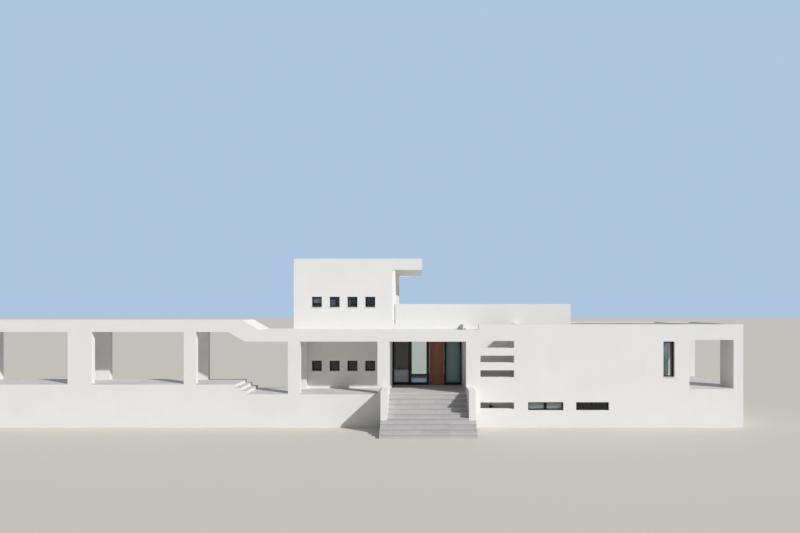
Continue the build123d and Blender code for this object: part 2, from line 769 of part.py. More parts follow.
# Entrance door leaf, flush with the inner face of its frame
door_in_y = glazing_y + FRAME_DEPTH
door_x = (door_bay[0] + DOOR_GAP, door_bay[1] - DOOR_GAP)
door_z = (floor_z + SILL_RAIL + DOOR_GAP, head_z - DOOR_GAP)

with BuildPart() as entrance_door:
    slab(door_x[0], door_x[1], door_in_y - DOOR_T, door_in_y, door_z[0], door_z[1])
save(entrance_door, "entrance_door")

# Hinges: the upper and lower knuckles are on the frame, the middle one is on the leaf
hinge_x = door_x[1] + DOOR_GAP / 2
hinge_y = door_in_y + HINGE_R + HINGE_CLEAR
hinge_pitch = (door_z[1] - door_z[0]) / HINGES
hinge_zs = [door_z[0] + hinge_pitch * (i + 0.5) for i in range(HINGES)]
knuckle_lift = HINGE_KNUCKLE + HINGE_PLAY


def knuckle(z_mid, plate_x0, plate_x1):
    """Adds one knuckle of a hinge with the plate that fixes it."""
    z0 = z_mid - HINGE_KNUCKLE / 2
    with BuildSketch(Plane.XY.offset(z0)) as plan:
        with Locations((hinge_x, hinge_y)):
            Circle(HINGE_R)
        with Locations(((plate_x0 + plate_x1) / 2, door_in_y + HINGE_LEAF_T / 2)):
            Rectangle(plate_x1 - plate_x0, HINGE_LEAF_T)
    extrude(plan.sketch, amount=HINGE_KNUCKLE)


with BuildPart() as door_hinges:
    for z in hinge_zs:
        for side in (-1, 1):
            knuckle(z + side * knuckle_lift, hinge_x + HINGE_OFFSET, hinge_x + HINGE_PLATE)
save(door_hinges, "door_hinges")

# On the leaf: the middle knuckles, and a pull bar on each face
with BuildPart() as door_fittings:
    for z in hinge_zs:
        knuckle(z, hinge_x - HINGE_PLATE, hinge_x - HINGE_OFFSET)
    handle_x = door_x[0] + HANDLE_INSET
    handle_z = (door_z[0] + door_z[1] - HANDLE_LENGTH) / 2
    for face_y, out in ((door_in_y - DOOR_T, -1), (door_in_y, 1)):
        bar_y = face_y + out * HANDLE_STANDOFF
        with BuildSketch(Plane.XY.offset(handle_z)):
            with Locations((handle_x, bar_y)):
                Circle(HANDLE_R)
        extrude(amount=HANDLE_LENGTH)
        for z in (handle_z + HANDLE_FOOT, handle_z + HANDLE_LENGTH - HANDLE_FOOT):
            with BuildSketch(Plane.XZ.offset(-face_y)):
                with Locations((handle_x, z)):
                    Circle(HANDLE_R * HANDLE_STEM)
            extrude(amount=-out * HANDLE_STANDOFF)
save(door_fittings, "door_fittings")

# Window frames, panes and sills: (hole, outer face of the wall, which way is out)
front_windows = [(hole, tower_y, -1) for hole in small_windows]
front_windows += [(hole, back_y, 1) for hole in small_windows]
front_windows += [(hole, front_y, -1) for hole in [tall_window] + basement_windows]
front_windows += [(hole, living_back_y, 1) for hole in garden_windows]
side_windows = [(roof_door, upper_e_x), (terrace_door, living_e_x)]


def frame_span(face, out):
    """Depth of a window frame, set back from the outer face of its wall."""
    near = face - out * FRAME_INSET
    far = near - out * FRAME_T
    return min(near, far), max(near, far)


def leaves(hole):
    """Splits a frame into panes; wide ones have a mullion in the middle."""
    u0, u1, z0, z1 = inside(hole, FRAME_W)
    if u1 - u0 < MULLION_FROM:
        return [(u0, u1, z0, z1)]
    middle = (u0 + u1) / 2
    return [(u0, middle - MULLION_W / 2, z0, z1), (middle + MULLION_W / 2, u1, z0, z1)]


with BuildPart() as window_frames:
    for hole, face, out in front_windows:
        y0, y1 = frame_span(face, out)
        front_panel(*hole, y0, y1, leaves(hole))
    for hole, face in side_windows:
        x0, x1 = frame_span(face, 1)
        side_panel(*hole, x0, x1, leaves(hole))
save(window_frames, "window_frames")

with BuildPart() as window_panes:
    for hole, face, out in front_windows:
        y0, y1 = frame_span(face, out)
        pane_y = (y0 + y1 - PANE_T) / 2
        for u0, u1, z0, z1 in leaves(hole):
            slab(u0, u1, pane_y, pane_y + PANE_T, z0, z1)
    for hole, face in side_windows:
        x0, x1 = frame_span(face, 1)
        pane_x = (x0 + x1 - PANE_T) / 2
        for u0, u1, z0, z1 in leaves(hole):
            slab(pane_x, pane_x + PANE_T, u0, u1, z0, z1)
save(window_panes, "window_panes")

with BuildPart() as window_sills:
    for (x0, x1, z0, z1), face, out in front_windows:
        if z0 < floor_z:
            continue
        y0, y1 = sorted((face, face + out * SILL_OUT))
        slab(x0 - SILL_EAR, x1 + SILL_EAR, y0, y1, z0 - SILL_T, z0)
save(window_sills, "window_sills")
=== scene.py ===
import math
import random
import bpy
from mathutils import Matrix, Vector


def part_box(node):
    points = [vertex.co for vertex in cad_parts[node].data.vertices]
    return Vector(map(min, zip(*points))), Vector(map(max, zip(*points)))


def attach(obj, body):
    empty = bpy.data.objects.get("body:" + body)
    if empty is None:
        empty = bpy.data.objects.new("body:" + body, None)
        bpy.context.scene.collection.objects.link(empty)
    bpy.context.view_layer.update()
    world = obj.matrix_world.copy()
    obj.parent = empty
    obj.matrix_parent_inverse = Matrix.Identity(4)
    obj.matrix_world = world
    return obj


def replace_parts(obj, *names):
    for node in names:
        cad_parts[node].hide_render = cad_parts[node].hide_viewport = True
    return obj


bl_info = {
    "name": "White Beach House",
    "version": (1, 0, 0),
    "blender": (4, 5, 0),
    "location": "View3D > Sidebar > Beach House",
    "description": "Finishes and lights a white beach house with a colonnade, a tower and a covered terrace",
    "category": "Object",
}

import bmesh
import bpy
from bpy.props import FloatProperty, FloatVectorProperty, IntProperty, PointerProperty
from mathutils import Matrix, Vector

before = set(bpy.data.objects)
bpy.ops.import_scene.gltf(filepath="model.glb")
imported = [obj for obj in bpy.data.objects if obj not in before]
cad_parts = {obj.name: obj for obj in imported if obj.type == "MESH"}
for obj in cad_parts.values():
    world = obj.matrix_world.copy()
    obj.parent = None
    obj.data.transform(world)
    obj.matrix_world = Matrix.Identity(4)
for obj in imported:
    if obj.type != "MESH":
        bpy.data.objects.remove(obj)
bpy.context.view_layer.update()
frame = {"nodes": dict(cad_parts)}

HOUSE = "house"
DOOR = "door"

# The photograph: its size, and where the level lines meet
PHOTO_W = 800
PHOTO_H = 533
FOCAL_LENGTH_PX = 622
VANISHING_X = 421
HORIZON_Y = 307
SENSOR_W = 36.0

# Places are given from the middle of the entrance, the front plane and the entrance floor
ENTRANCE_X = (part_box("stair_core")[0].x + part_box("stair_core")[1].x) / 2
FRONT_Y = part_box("front_beam")[0].y
FLOOR_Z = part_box("hall_floor")[1].z

# Sizes of the house that the pieces of the scene have to fit, in metres
CORE_SETBACK = 0.02
UPSTAND_WIDTH = 0.25
PARAPET_WIDTH = 0.25
LIVING_ROOF_DROP = 0.1
ROOF_EDGE = 0.3
KERB_WIDTH = 0.2

# Sizes of the scene's own pieces that recur, in metres
PAVER_CLEARANCE = 0.01
PRISM_EDGE = 0.002
BRACKET_PITCH = 1.6

# Painted render, which covers most of the house
RENDERED_NODES = (
    "walkway_plinth", "portico_plinth", "walkway_step_blocks", "porch_slabs",
    "colonnade_piers", "portico_rear_pier", "front_beam", "rear_beam", "colonnade_roof",
    "walkway_cross_beams", "tower_front_wall", "tower_back_wall", "tower_west_wall",
    "tower_east_wall", "tower_upper_floor", "tower_roof", "tower_roof_upstand",
    "hall_front_wall", "hall_lintels", "hall_back_wall", "hall_east_wall", "hall_roof",
    "roof_terrace_parapet", "slotted_wall", "living_front_wall",
    "living_back_wall", "living_end_wall", "living_roof", "terrace_pier",
    "terrace_plinth", "terrace_beams", "stair_cheeks",
)


def place(x, y, z):
    """A point given from the entrance, the front plane and the entrance floor."""
    return Vector((ENTRANCE_X + x, FRONT_Y + y, FLOOR_Z + z))


def colour_property(name, description, default):
    """A colour that a user can change."""
    return FloatVectorProperty(
        name=name, description=description, subtype="COLOR", size=3, min=0.0, max=1.0, default=default
    )


def length_property(name, description, default):
    """A length in metres that a user can change."""
    return FloatProperty(name=name, description=description, unit="LENGTH", min=0.0, default=default)


def share_property(name, description, default):
    """A share between none and all that a user can change."""
    return FloatProperty(
        name=name, description=description, subtype="FACTOR", min=0.0, max=1.0, default=default
    )


def angle_property(name, description, degrees):
    """An angle that a user can change."""
    return FloatProperty(
        name=name, description=description, subtype="ANGLE", default=math.radians(degrees)
    )


def strength_property(name, description, default):
    """Strength of a light that a user can change."""
    return FloatProperty(name=name, description=description, min=0.0, default=default)


def count_property(name, description, default):
    """A number of pieces that a user can change."""
    return IntProperty(name=name, description=description, min=1, default=default)


class RenderCoatSettings(bpy.types.PropertyGroup):
    """Painted render of the walls."""

    colour: colour_property("Paint", "Colour of the painted render", (0.83, 0.82, 0.805))
    # The light well's paint is a warmer copy of the render that paints in warm bounce light
    well_colour_with_painted_bounce: colour_property("Well paint", "Colour of the paint in the light well", (0.87, 0.815, 0.745))
    dust: colour_property("Dust", "Colour of the dust on ledges and roofs", (0.6, 0.57, 0.52))
    dust_share: share_property("Dust amount", "How far dust hides the paint on level faces", 0.3)
    drift: share_property("Tone drift", "How much the paint varies from place to place", 0.035)
    patch: length_property("Patch size", "Size of the patches of different tone", 1.4)
    grain: length_property("Grain size", "Size of the grain of the render", 0.006)
    streaks: share_property("Rain streaks", "How far rain streaks darken the walls", 0.035)
    splash: share_property("Ground splash", "How far splashed soil tints the foot of the walls", 0.12)
    splash_height: length_property("Splash height", "How high splashed soil reaches", 0.35)


class StoneSettings(bpy.types.PropertyGroup):
    """Grey stone of the paving, the stair and the sills."""

    colour: colour_property("Stone", "Colour of the darkest stones", (0.45, 0.43, 0.43))
    pale: colour_property("Pale stone", "Colour of the palest stones", (0.56, 0.535, 0.53))
    paving: colour_property("Paving", "Colour of the darkest paving slabs", (0.59, 0.565, 0.555))
    pale_paving: colour_property("Pale paving", "Colour of the palest paving slabs", (0.69, 0.66, 0.65))
    joint: colour_property("Joint", "Colour of the joints", (0.3, 0.29, 0.28))
    sill: colour_property("Sill", "Colour of the window sills", (0.66, 0.64, 0.61))
    console: colour_property("Console", "Palest stone of the console in the hall", (0.9, 0.85, 0.8))
    slab_length: length_property("Slab length", "Length of a paving slab", 0.9)
    slab_width: length_property("Slab width", "Width of a paving slab", 0.45)
    joint_width: length_property("Joint width", "Width of a joint", 0.005)
    skirting: length_property("Skirting", "Height of the skirting at the foot of the cheeks", 0.085)
    stair_stone: length_property("Stair stone", "Length of one stone of the stair", 1.2)
    edge: length_property("Stone edge", "Rounding of the edges of the stair stones", 0.004)
    riser_thickness: length_property("Riser thickness", "Thickness of the riser stones", 0.007)
    open_joint: length_property("Open joint", "Gap between a riser stone and the tread above", 0.01)


class FloorSettings(bpy.types.PropertyGroup):
    """Stone floors indoors."""

    # The floor's dark teal is partly the stone's own dark colour and partly painted shade and painted sky
    # reflection
    colour: colour_property("Floor", "Colour of the floor stone", (0.07, 0.13, 0.17))
    pale: colour_property("Pale tile", "Colour of the palest tiles", (0.09, 0.16, 0.2))
    tile: length_property("Tile size", "Edge of a square floor tile", 0.8)


class RoofSettings(bpy.types.PropertyGroup):
    """Felt and pavers on the flat roofs."""

    felt: colour_property("Felt", "Colour of the mineral felt", (0.34, 0.34, 0.335))
    pale_felt: colour_property("Pale felt", "Colour of the palest felt", (0.42, 0.415, 0.4))
    roll: length_property("Roll width", "Width of a roll of felt", 1.0)
    lap: length_property("Lap", "How far one roll of felt laps over the next", 0.08)
    felt_thickness: length_property("Felt thickness", "Thickness of the felt", 0.005)
    insulation: length_property("Insulation", "Thickness of the boards under the felt", 0.045)
    paver: length_property("Paver", "Edge of a square roof paver", 0.6)
    paver_thickness: length_property("Paver thickness", "Thickness of a roof paver", 0.03)
    paver_gap: length_property("Paver gap", "Gap between two roof pavers", 0.006)
    paver_colour: colour_property("Paver colour", "Colour of the roof pavers", (0.52, 0.5, 0.47))
    pale_paver: colour_property("Pale paver", "Colour of the palest roof pavers", (0.62, 0.6, 0.56))


class MetalSettings(bpy.types.PropertyGroup):
    """Dark frames, white coated metal and steel fittings."""

    frame: colour_property("Frames", "Colour of the powder coated frames", (0.016, 0.016, 0.018))
    seal: colour_property("Seals", "Colour of the rubber seals", (0.008, 0.008, 0.008))
    white: colour_property("White metal", "Colour of shutters, pipes and lamps", (0.78, 0.775, 0.76))
    steel: colour_property("Steel", "Colour of the dark brushed steel", (0.2, 0.19, 0.185))
    lamp: colour_property("Lamp grey", "Colour of the floodlight", (0.3, 0.3, 0.3))
    lamp_glow: strength_property("Lamp glow", "Glow of the lamp tube", 0.55)
    bead: length_property("Glazing bead", "Width of the beads that hold the panes", 0.01)


class GlassSettings(bpy.types.PropertyGroup):
    """Panes of the windows and screens."""

    tint: colour_property("Tint", "Tint of the glass", (0.84, 0.9, 0.89))
    bend: FloatProperty(name="Index", description="Refractive index of the coated glass", default=1.38)


class WoodSettings(bpy.types.PropertyGroup):
    """Oiled boards of the entrance door and of the cupboard in the hall."""

    dark: colour_property("Dark grain", "Colour of the dark grain of the door", (0.23, 0.07, 0.032))
    light: colour_property("Light grain", "Colour of the light grain of the door", (0.46, 0.165, 0.08))
    cupboard_dark: colour_property("Cupboard dark", "Dark grain of the cupboard", (0.09, 0.075, 0.055))
    cupboard_light: colour_property("Cupboard light", "Light grain of the cupboard", (0.17, 0.135, 0.1))
    boards: count_property("Boards", "Upright boards of the leaf", 6)
    groove: length_property("Groove", "Width of the groove between boards", 0.006)


class BlindSettings(bpy.types.PropertyGroup):
    """Louvred shutters and upright louvre blinds."""

    pitch: length_property("Slat pitch", "Distance between the slats of a shutter", 0.05)
    slat: length_property("Slat width", "Width of a slat of a shutter", 0.06)
    tilt: angle_property("Slat tilt", "How far the slats of a shutter lean", 50.0)
    stile: length_property("Stile width", "Width of a shutter's frame", 0.045)
    louvre: length_property("Louvre width", "Width of an upright louvre", 0.1)
    turn: angle_property("Louvre turn", "How far the upright louvres are turned", 14.0)
    green: colour_property("Green louvres", "Colour of the louvres behind the screen", (0.43, 0.6, 0.56))
    # The tall window's louvres run from painted shade at the foot to a painted sky reflection at the head
    pale: colour_property("Pale louvres", "Head of the louvres in the tall window", (0.56, 0.66, 0.8))
    shaded: colour_property("Shaded louvres", "Foot of the louvres in the tall window", (0.3, 0.34, 0.3))
    # The tower blind's pale blue is a painted sky reflection
    tower: colour_property("Tower blind", "Colour of the blind in the tower", (0.72, 0.76, 0.84))
    board: colour_property("Inner boards", "Boards behind the west basement panes", (0.66, 0.63, 0.57))
    # The black boards behind the east basement panes are painted shade
    painted_shade_board: colour_property("Painted shade boards", "Boards behind the east basement panes", (0.01, 0.01, 0.01))


class PlanterSettings(bpy.types.PropertyGroup):
    """Planting bed in the light well."""

    bed_drop: length_property("Bed drop", "How far the bed lies below the top of its back wall", 0.45)
    gravel: colour_property("Gravel", "Colour of the darkest pebbles", (0.45, 0.43, 0.4))
    pale_gravel: colour_property("Pale gravel", "Colour of the palest pebbles", (0.72, 0.7, 0.66))
    pebble: length_property("Pebble", "Half the length of a pebble", 0.022)
    pebbles: count_property("Pebbles", "Number of loose pebbles", 420)
    leaf: colour_property("Leaf", "Colour of the shrub's leaves", (0.1, 0.17, 0.055))
    leaf_length: length_property("Leaf length", "Length of a leaf of the shrub", 0.07)
    stems: count_property("Stems", "Stems of the shrub", 14)
    leaves: count_property("Leaves", "Leaves on each stem", 12)


class StageSettings(bpy.types.PropertyGroup):
    """Floor, backdrop, lamps and camera."""

    floor: colour_property("Floor", "Colour of the plain floor", (0.62, 0.585, 0.53))
    backdrop: colour_property("Backdrop", "Colour behind the house", (0.42, 0.56, 0.74))
    floor_size: length_property("Floor size", "Edge of the floor", 600.0)
    sun: strength_property("Key light", "Strength of the key light", 3.3)
    sun_angle: angle_property("Key softness", "Apparent size of the key light", 1.2)
    sun_towards: FloatVectorProperty(
        name="Key direction", description="Where the key light comes from", size=3,
        subtype="DIRECTION", default=(1.28, -1.0, 1.18),
    )
    sky: strength_property("Fill light", "Strength of the even fill light", 0.29)
    sky_colour: colour_property("Fill colour", "Colour of the even fill light", (0.88, 0.94, 1.0))
    eye_aside: FloatProperty(
        name="Eye aside", description="Camera's distance right of the entrance",
        unit="LENGTH", default=-0.316,
    )
    eye_back: length_property("Eye back", "Camera's distance in front of the house", 28.9)
    eye_height: length_property("Eye height", "Camera's height above the entrance floor", 4.02)


class HouseSettings(bpy.types.PropertyGroup):
    """All that a user can change on the house."""

    coat: PointerProperty(type=RenderCoatSettings)
    stone: PointerProperty(type=StoneSettings)
    floors: PointerProperty(type=FloorSettings)
    roofs: PointerProperty(type=RoofSettings)
    metal: PointerProperty(type=MetalSettings)
    glass: PointerProperty(type=GlassSettings)
    wood: PointerProperty(type=WoodSettings)
    blinds: PointerProperty(type=BlindSettings)
    planter: PointerProperty(type=PlanterSettings)
    stage: PointerProperty(type=StageSettings)


def opaque(colour):
    """A colour with full alpha, for a shader's socket."""
    return (*colour, 1.0)


def add_node(tree, kind, values=None, **options):
    """Adds a shader node, with its options and the values of its sockets."""
    node = tree.nodes.new(kind)
    for name, value in options.items():
        setattr(node, name, value)
    for name, value in (values or {}).items():
        node.inputs[name].default_value = value
    return node


def join(tree, *wires):
    """Links outputs to inputs, each wire given as (node, output, node, input)."""
    for source, output, target, entry in wires:
        tree.links.new(source.outputs[output], target.inputs[entry])


def shader_group(name, inputs, outputs):
    """Starts a node group with inputs (name, kind, default) and outputs (name, kind)."""
    group = bpy.data.node_groups.new(name, "ShaderNodeTree")
    for label, kind, default in inputs:
        group.interface.new_socket(label, in_out="INPUT", socket_type=kind).default_value = default
    for label, kind in outputs:
        group.interface.new_socket(label, in_out="OUTPUT", socket_type=kind)
    return group, group.nodes.new("NodeGroupInput"), group.nodes.new("NodeGroupOutput")


def place_group(tree, name, values):
    """Places a node group in a material with its own values."""
    node = tree.nodes.new("ShaderNodeGroup")
    node.node_tree = bpy.data.node_groups[name]
    for label, value in values.items():
        node.inputs[label].default_value = value
    return node


def make_tone_group():
    """Lets a colour drift from place to place and gathers dust on level faces."""
    colour, number = "NodeSocketColor", "NodeSocketFloat"
    group, given, result = shader_group(
        "Weathered tone",
        [
            ("Colour", colour, (0.8, 0.8, 0.8, 1.0)),
            ("Drift", number, 0.05),
            ("Patch Size", number, 1.0),
            ("Dust Colour", colour, (0.5, 0.48, 0.45, 1.0)),
            ("Dust", number, 0.2),
        ],
        [("Colour", colour)],
    )
    surface_place = add_node(group, "ShaderNodeTexCoord")
    density = add_node(group, "ShaderNodeMath", {0: 1.0}, operation="DIVIDE")
    patches = add_node(group, "ShaderNodeTexNoise", {"Detail": 5.0, "Roughness": 0.6})
    lowest = add_node(group, "ShaderNodeMath", {0: 1.0}, operation="SUBTRACT")
    shade = add_node(group, "ShaderNodeMapRange", {"From Min": 0.3, "From Max": 0.7, "To Max": 1.0})
    toned = add_node(group, "ShaderNodeVectorMath", operation="SCALE")
    surface = add_node(group, "ShaderNodeNewGeometry")
    parts = add_node(group, "ShaderNodeSeparateXYZ")
    level = add_node(group, "ShaderNodeMapRange", {"From Min": 0.6, "From Max": 0.95})
    settled = add_node(group, "ShaderNodeMath", operation="MULTIPLY")
    amount = add_node(group, "ShaderNodeMath", operation="MULTIPLY")
    dusty = add_node(group, "ShaderNodeMix", data_type="RGBA")
    join(
        group,
        (given, "Patch Size", density, 1),
        (density, 0, patches, "Scale"),
        (surface_place, "Object", patches, "Vector"),
        (given, "Drift", lowest, 1),
        (lowest, 0, shade, "To Min"),
        (patches, "Fac", shade, "Value"),
        (given, "Colour", toned, 0),
        (shade, "Result", toned, "Scale"),
        (surface, "Normal", parts, 0),
        (parts, "Z", level, "Value"),
        (level, "Result", settled, 0),
        (patches, "Fac", settled, 1),
        (settled, 0, amount, 0),
        (given, "Dust", amount, 1),
        (amount, 0, dusty, "Factor"),
        (toned, 0, dusty, "A"),
        (given, "Dust Colour", dusty, "B"),
        (dusty, "Result", result, "Colour"),
    )


def make_rain_group():
    """Tints a wall with upright rain streaks and with soil splashed up from the ground."""
    colour, number = "NodeSocketColor", "NodeSocketFloat"
    group, given, result = shader_group(
        "Rain and splash",
        [
            ("Colour", colour, (0.8, 0.8, 0.8, 1.0)),
            ("Soil Colour", colour, (0.5, 0.48, 0.45, 1.0)),
            ("Streaks", number, 0.03),
            ("Splash", number, 0.1),
            ("Splash Height", number, 0.3),
        ],
        [("Colour", colour)],
    )
    surface_place = add_node(group, "ShaderNodeTexCoord")
    stretch = add_node(group, "ShaderNodeVectorMath", {1: (5.0, 5.0, 0.22)}, operation="MULTIPLY")
    streaks = add_node(group, "ShaderNodeTexNoise", {"Scale": 1.0, "Detail": 4.0, "Roughness": 0.65})
    strong = add_node(group, "ShaderNodeMapRange", {"From Min": 0.5, "From Max": 0.75})
    streak_share = add_node(group, "ShaderNodeMath", operation="MULTIPLY")
    streaked = add_node(group, "ShaderNodeMix", data_type="RGBA")
    parts = add_node(group, "ShaderNodeSeparateXYZ")
    low_down = add_node(group, "ShaderNodeMapRange", {"From Min": 0.0, "To Min": 1.0, "To Max": 0.0})
    spatter = add_node(group, "ShaderNodeTexNoise", {"Scale": 9.0, "Detail": 5.0, "Roughness": 0.75})
    uneven = add_node(group, "ShaderNodeMath", operation="MULTIPLY")
    splash_share = add_node(group, "ShaderNodeMath", operation="MULTIPLY")
    splashed = add_node(group, "ShaderNodeMix", data_type="RGBA")
    join(
        group,
        (surface_place, "Object", stretch, 0),
        (stretch, 0, streaks, "Vector"),
        (streaks, "Fac", strong, "Value"),
        (strong, "Result", streak_share, 0),
        (given, "Streaks", streak_share, 1),
        (streak_share, 0, streaked, "Factor"),
        (given, "Colour", streaked, "A"),
        (given, "Soil Colour", streaked, "B"),
        (surface_place, "Object", parts, 0),
        (parts, "Z", low_down, "Value"),
        (given, "Splash Height", low_down, "From Max"),
        (surface_place, "Object", spatter, "Vector"),
        (low_down, "Result", uneven, 0),
        (spatter, "Fac", uneven, 1),
        (uneven, 0, splash_share, 0),
        (given, "Splash", splash_share, 1),
        (splash_share, 0, splashed, "Factor"),
        (streaked, "Result", splashed, "A"),
        (given, "Soil Colour", splashed, "B"),
        (splashed, "Result", result, "Colour"),
    )


def make_grain_group():
    """Grain of one size, as a height between nothing and one."""
    group, given, result = shader_group(
        "Fine grain",
        [("Grain Size", "NodeSocketFloat", 0.005), ("Stretch", "NodeSocketVector", (1.0, 1.0, 1.0))],
        [("Height", "NodeSocketFloat")],
    )
    surface_place = add_node(group, "ShaderNodeTexCoord")
    stretch = add_node(group, "ShaderNodeVectorMath", operation="MULTIPLY")
    density = add_node(group, "ShaderNodeMath", {0: 1.0}, operation="DIVIDE")
    grain = add_node(group, "ShaderNodeTexNoise", {"Detail": 3.0, "Roughness": 0.7})
    join(
        group,
        (surface_place, "Object", stretch, 0),
        (given, "Stretch", stretch, 1),
        (stretch, 0, grain, "Vector"),
        (given, "Grain Size", density, 1),
        (density, 0, grain, "Scale"),
        (grain, "Fac", result, "Height"),
    )


def make_slab_group():
    """Slabs laid in rows: a tone for each slab and a mask of the joints."""
    number = "NodeSocketFloat"
    group, given, result = shader_group(
        "Laid slabs",
        [("Slab Length", number, 0.9), ("Slab Width", number, 0.45), ("Joint Width", number, 0.006)],
        [("Tone", number), ("Joint", number)],
    )
    surface_place = add_node(group, "ShaderNodeTexCoord")
    slabs = add_node(
        group, "ShaderNodeTexBrick",
        {"Color1": (0, 0, 0, 1), "Color2": (1, 1, 1, 1), "Mortar": (0, 0, 0, 1), "Scale": 1.0,
         "Mortar Smooth": 0.2, "Bias": 0.0},
    )
    halved = add_node(group, "ShaderNodeMath", {1: 0.5}, operation="MULTIPLY")
    join(
        group,
        (surface_place, "Object", slabs, "Vector"),
        (given, "Slab Length", slabs, "Brick Width"),
        (given, "Slab Width", slabs, "Row Height"),
        (given, "Joint Width", halved, 0),
        (halved, 0, slabs, "Mortar Size"),
        (slabs, "Color", result, "Tone"),
        (slabs, "Fac", result, "Joint"),
    )


def new_material(name, values):
    """Starts a material and returns it with its tree and its main shader."""
    material = bpy.data.materials.new(name)
    material.use_nodes = True
    tree = material.node_tree
    shader = tree.nodes["Principled BSDF"]
    for label, value in values.items():
        shader.inputs[label].default_value = value
    return material, tree, shader


def add_bump(tree, shader, height, strength, distance):
    """Raises a surface by a height output."""
    bump = add_node(tree, "ShaderNodeBump", {"Strength": strength, "Distance": distance})
    tree.links.new(height, bump.inputs["Height"])
    tree.links.new(bump.outputs["Normal"], shader.inputs["Normal"])


def mix_colours(tree, first, second, factor):
    """Mixes two given colours by an output, and returns the mixed output."""
    mixed = add_node(tree, "ShaderNodeMix", data_type="RGBA")
    mixed.inputs["A"].default_value = opaque(first)
    mixed.inputs["B"].default_value = opaque(second)
    tree.links.new(factor, mixed.inputs["Factor"])
    return mixed.outputs["Result"]


def weathered(tree, shader, colour_output, drift, patch, dust_colour, dust):
    """Sends a colour through the weathering group into the shader."""
    tone = place_group(
        tree, "Weathered tone",
        {"Drift": drift, "Patch Size": patch, "Dust Colour": opaque(dust_colour), "Dust": dust},
    )
    tree.links.new(colour_output, tone.inputs["Colour"])
    tree.links.new(tone.outputs["Colour"], shader.inputs["Base Color"])


def render_coat_material(name, colour, settings):
    """Painted render with a fine trowelled grain, rain streaks and a splashed foot."""
    material, tree, shader = new_material(name, {"Roughness": 0.88, "Specular IOR Level": 0.3})
    rain = place_group(
        tree, "Rain and splash",
        {"Colour": opaque(colour), "Soil Colour": opaque(settings.dust),
         "Streaks": settings.streaks, "Splash": settings.splash, "Splash Height": settings.splash_height},
    )
    weathered(
        tree, shader, rain.outputs["Colour"], settings.drift, settings.patch, settings.dust,
        settings.dust_share,
    )
    grain = place_group(tree, "Fine grain", {"Grain Size": settings.grain})
    trowel = place_group(tree, "Fine grain", {"Grain Size": 0.22, "Stretch": (1.0, 1.0, 1.6)})
    relief = add_node(tree, "ShaderNodeMath", {1: 2.0}, operation="MULTIPLY_ADD")
    tree.links.new(trowel.outputs["Height"], relief.inputs[0])
    tree.links.new(grain.outputs["Height"], relief.inputs[2])
    add_bump(tree, shader, relief.outputs[0], 0.22, 0.002)
    return material


def slab_material(name, stone, pale, joint, size, joint_width, dust, roughness, gloss=0.5):
    """Stone laid in slabs, each with its own tone, with fine joints."""
    material, tree, shader = new_material(name, {"Roughness": roughness, "Specular IOR Level": gloss})
    slabs = place_group(
        tree, "Laid slabs",
        {"Slab Length": size[0], "Slab Width": size[1], "Joint Width": joint_width},
    )
    slab_tone = mix_colours(tree, stone, pale, slabs.outputs["Tone"])
    jointed = add_node(tree, "ShaderNodeMix", data_type="RGBA")
    jointed.inputs["B"].default_value = opaque(joint)
    tree.links.new(slab_tone, jointed.inputs["A"])
    tree.links.new(slabs.outputs["Joint"], jointed.inputs["Factor"])
    weathered(tree, shader, jointed.outputs["Result"], 0.12, 0.5, pale, dust)
    grain = place_group(tree, "Fine grain", {"Grain Size": 0.004})
    height = add_node(tree, "ShaderNodeMath", operation="SUBTRACT")
    tree.links.new(grain.outputs["Height"], height.inputs[0])
    tree.links.new(slabs.outputs["Joint"], height.inputs[1])
    add_bump(tree, shader, height.outputs[0], 0.3, 0.002)
    return material


def block_stone_material(name, stone, pale, roughness, speckle, dust):
    """Stone of separate blocks, each with its own tone, with a fine speckle."""
    material, tree, shader = new_material(name, {"Roughness": roughness})
    tone = add_node(tree, "ShaderNodeAttribute", attribute_name="block_tone")
    grain = place_group(tree, "Fine grain", {"Grain Size": speckle})
    coarse = place_group(tree, "Fine grain", {"Grain Size": speckle * 12})
    speckled = add_node(tree, "ShaderNodeMath", {1: 0.6}, operation="MULTIPLY_ADD")
    blended = add_node(tree, "ShaderNodeMath", {1: 0.5}, operation="MULTIPLY_ADD")
    settled = add_node(tree, "ShaderNodeMath", {1: 0.3}, operation="SUBTRACT")
    join(
        tree,
        (grain, "Height", speckled, 0),
        (coarse, "Height", speckled, 2),
        (tone, "Fac", blended, 0),
        (speckled, 0, settled, 0),
        (settled, 0, blended, 2),
    )
    weathered(tree, shader, mix_colours(tree, stone, pale, blended.outputs[0]), 0.08, 0.6, pale, dust)
    add_bump(tree, shader, grain.outputs["Height"], 0.3, 0.0015)
    return material


def coated_material(name, colour, roughness, grain_size, relief, drift=0.06, gloss=0.4):
    """A painted or moulded surface with a faint grain and a drifting tone."""
    material, tree, shader = new_material(name, {"Roughness": roughness, "Specular IOR Level": gloss})
    grain = place_group(tree, "Fine grain", {"Grain Size": grain_size})
    paler = [min(1.0, part * 1.12) for part in colour]
    toned = mix_colours(tree, colour, paler, grain.outputs["Height"])
    weathered(tree, shader, toned, drift, 0.4, paler, 0.0)
    add_bump(tree, shader, grain.outputs["Height"], 0.1, relief)
    return material


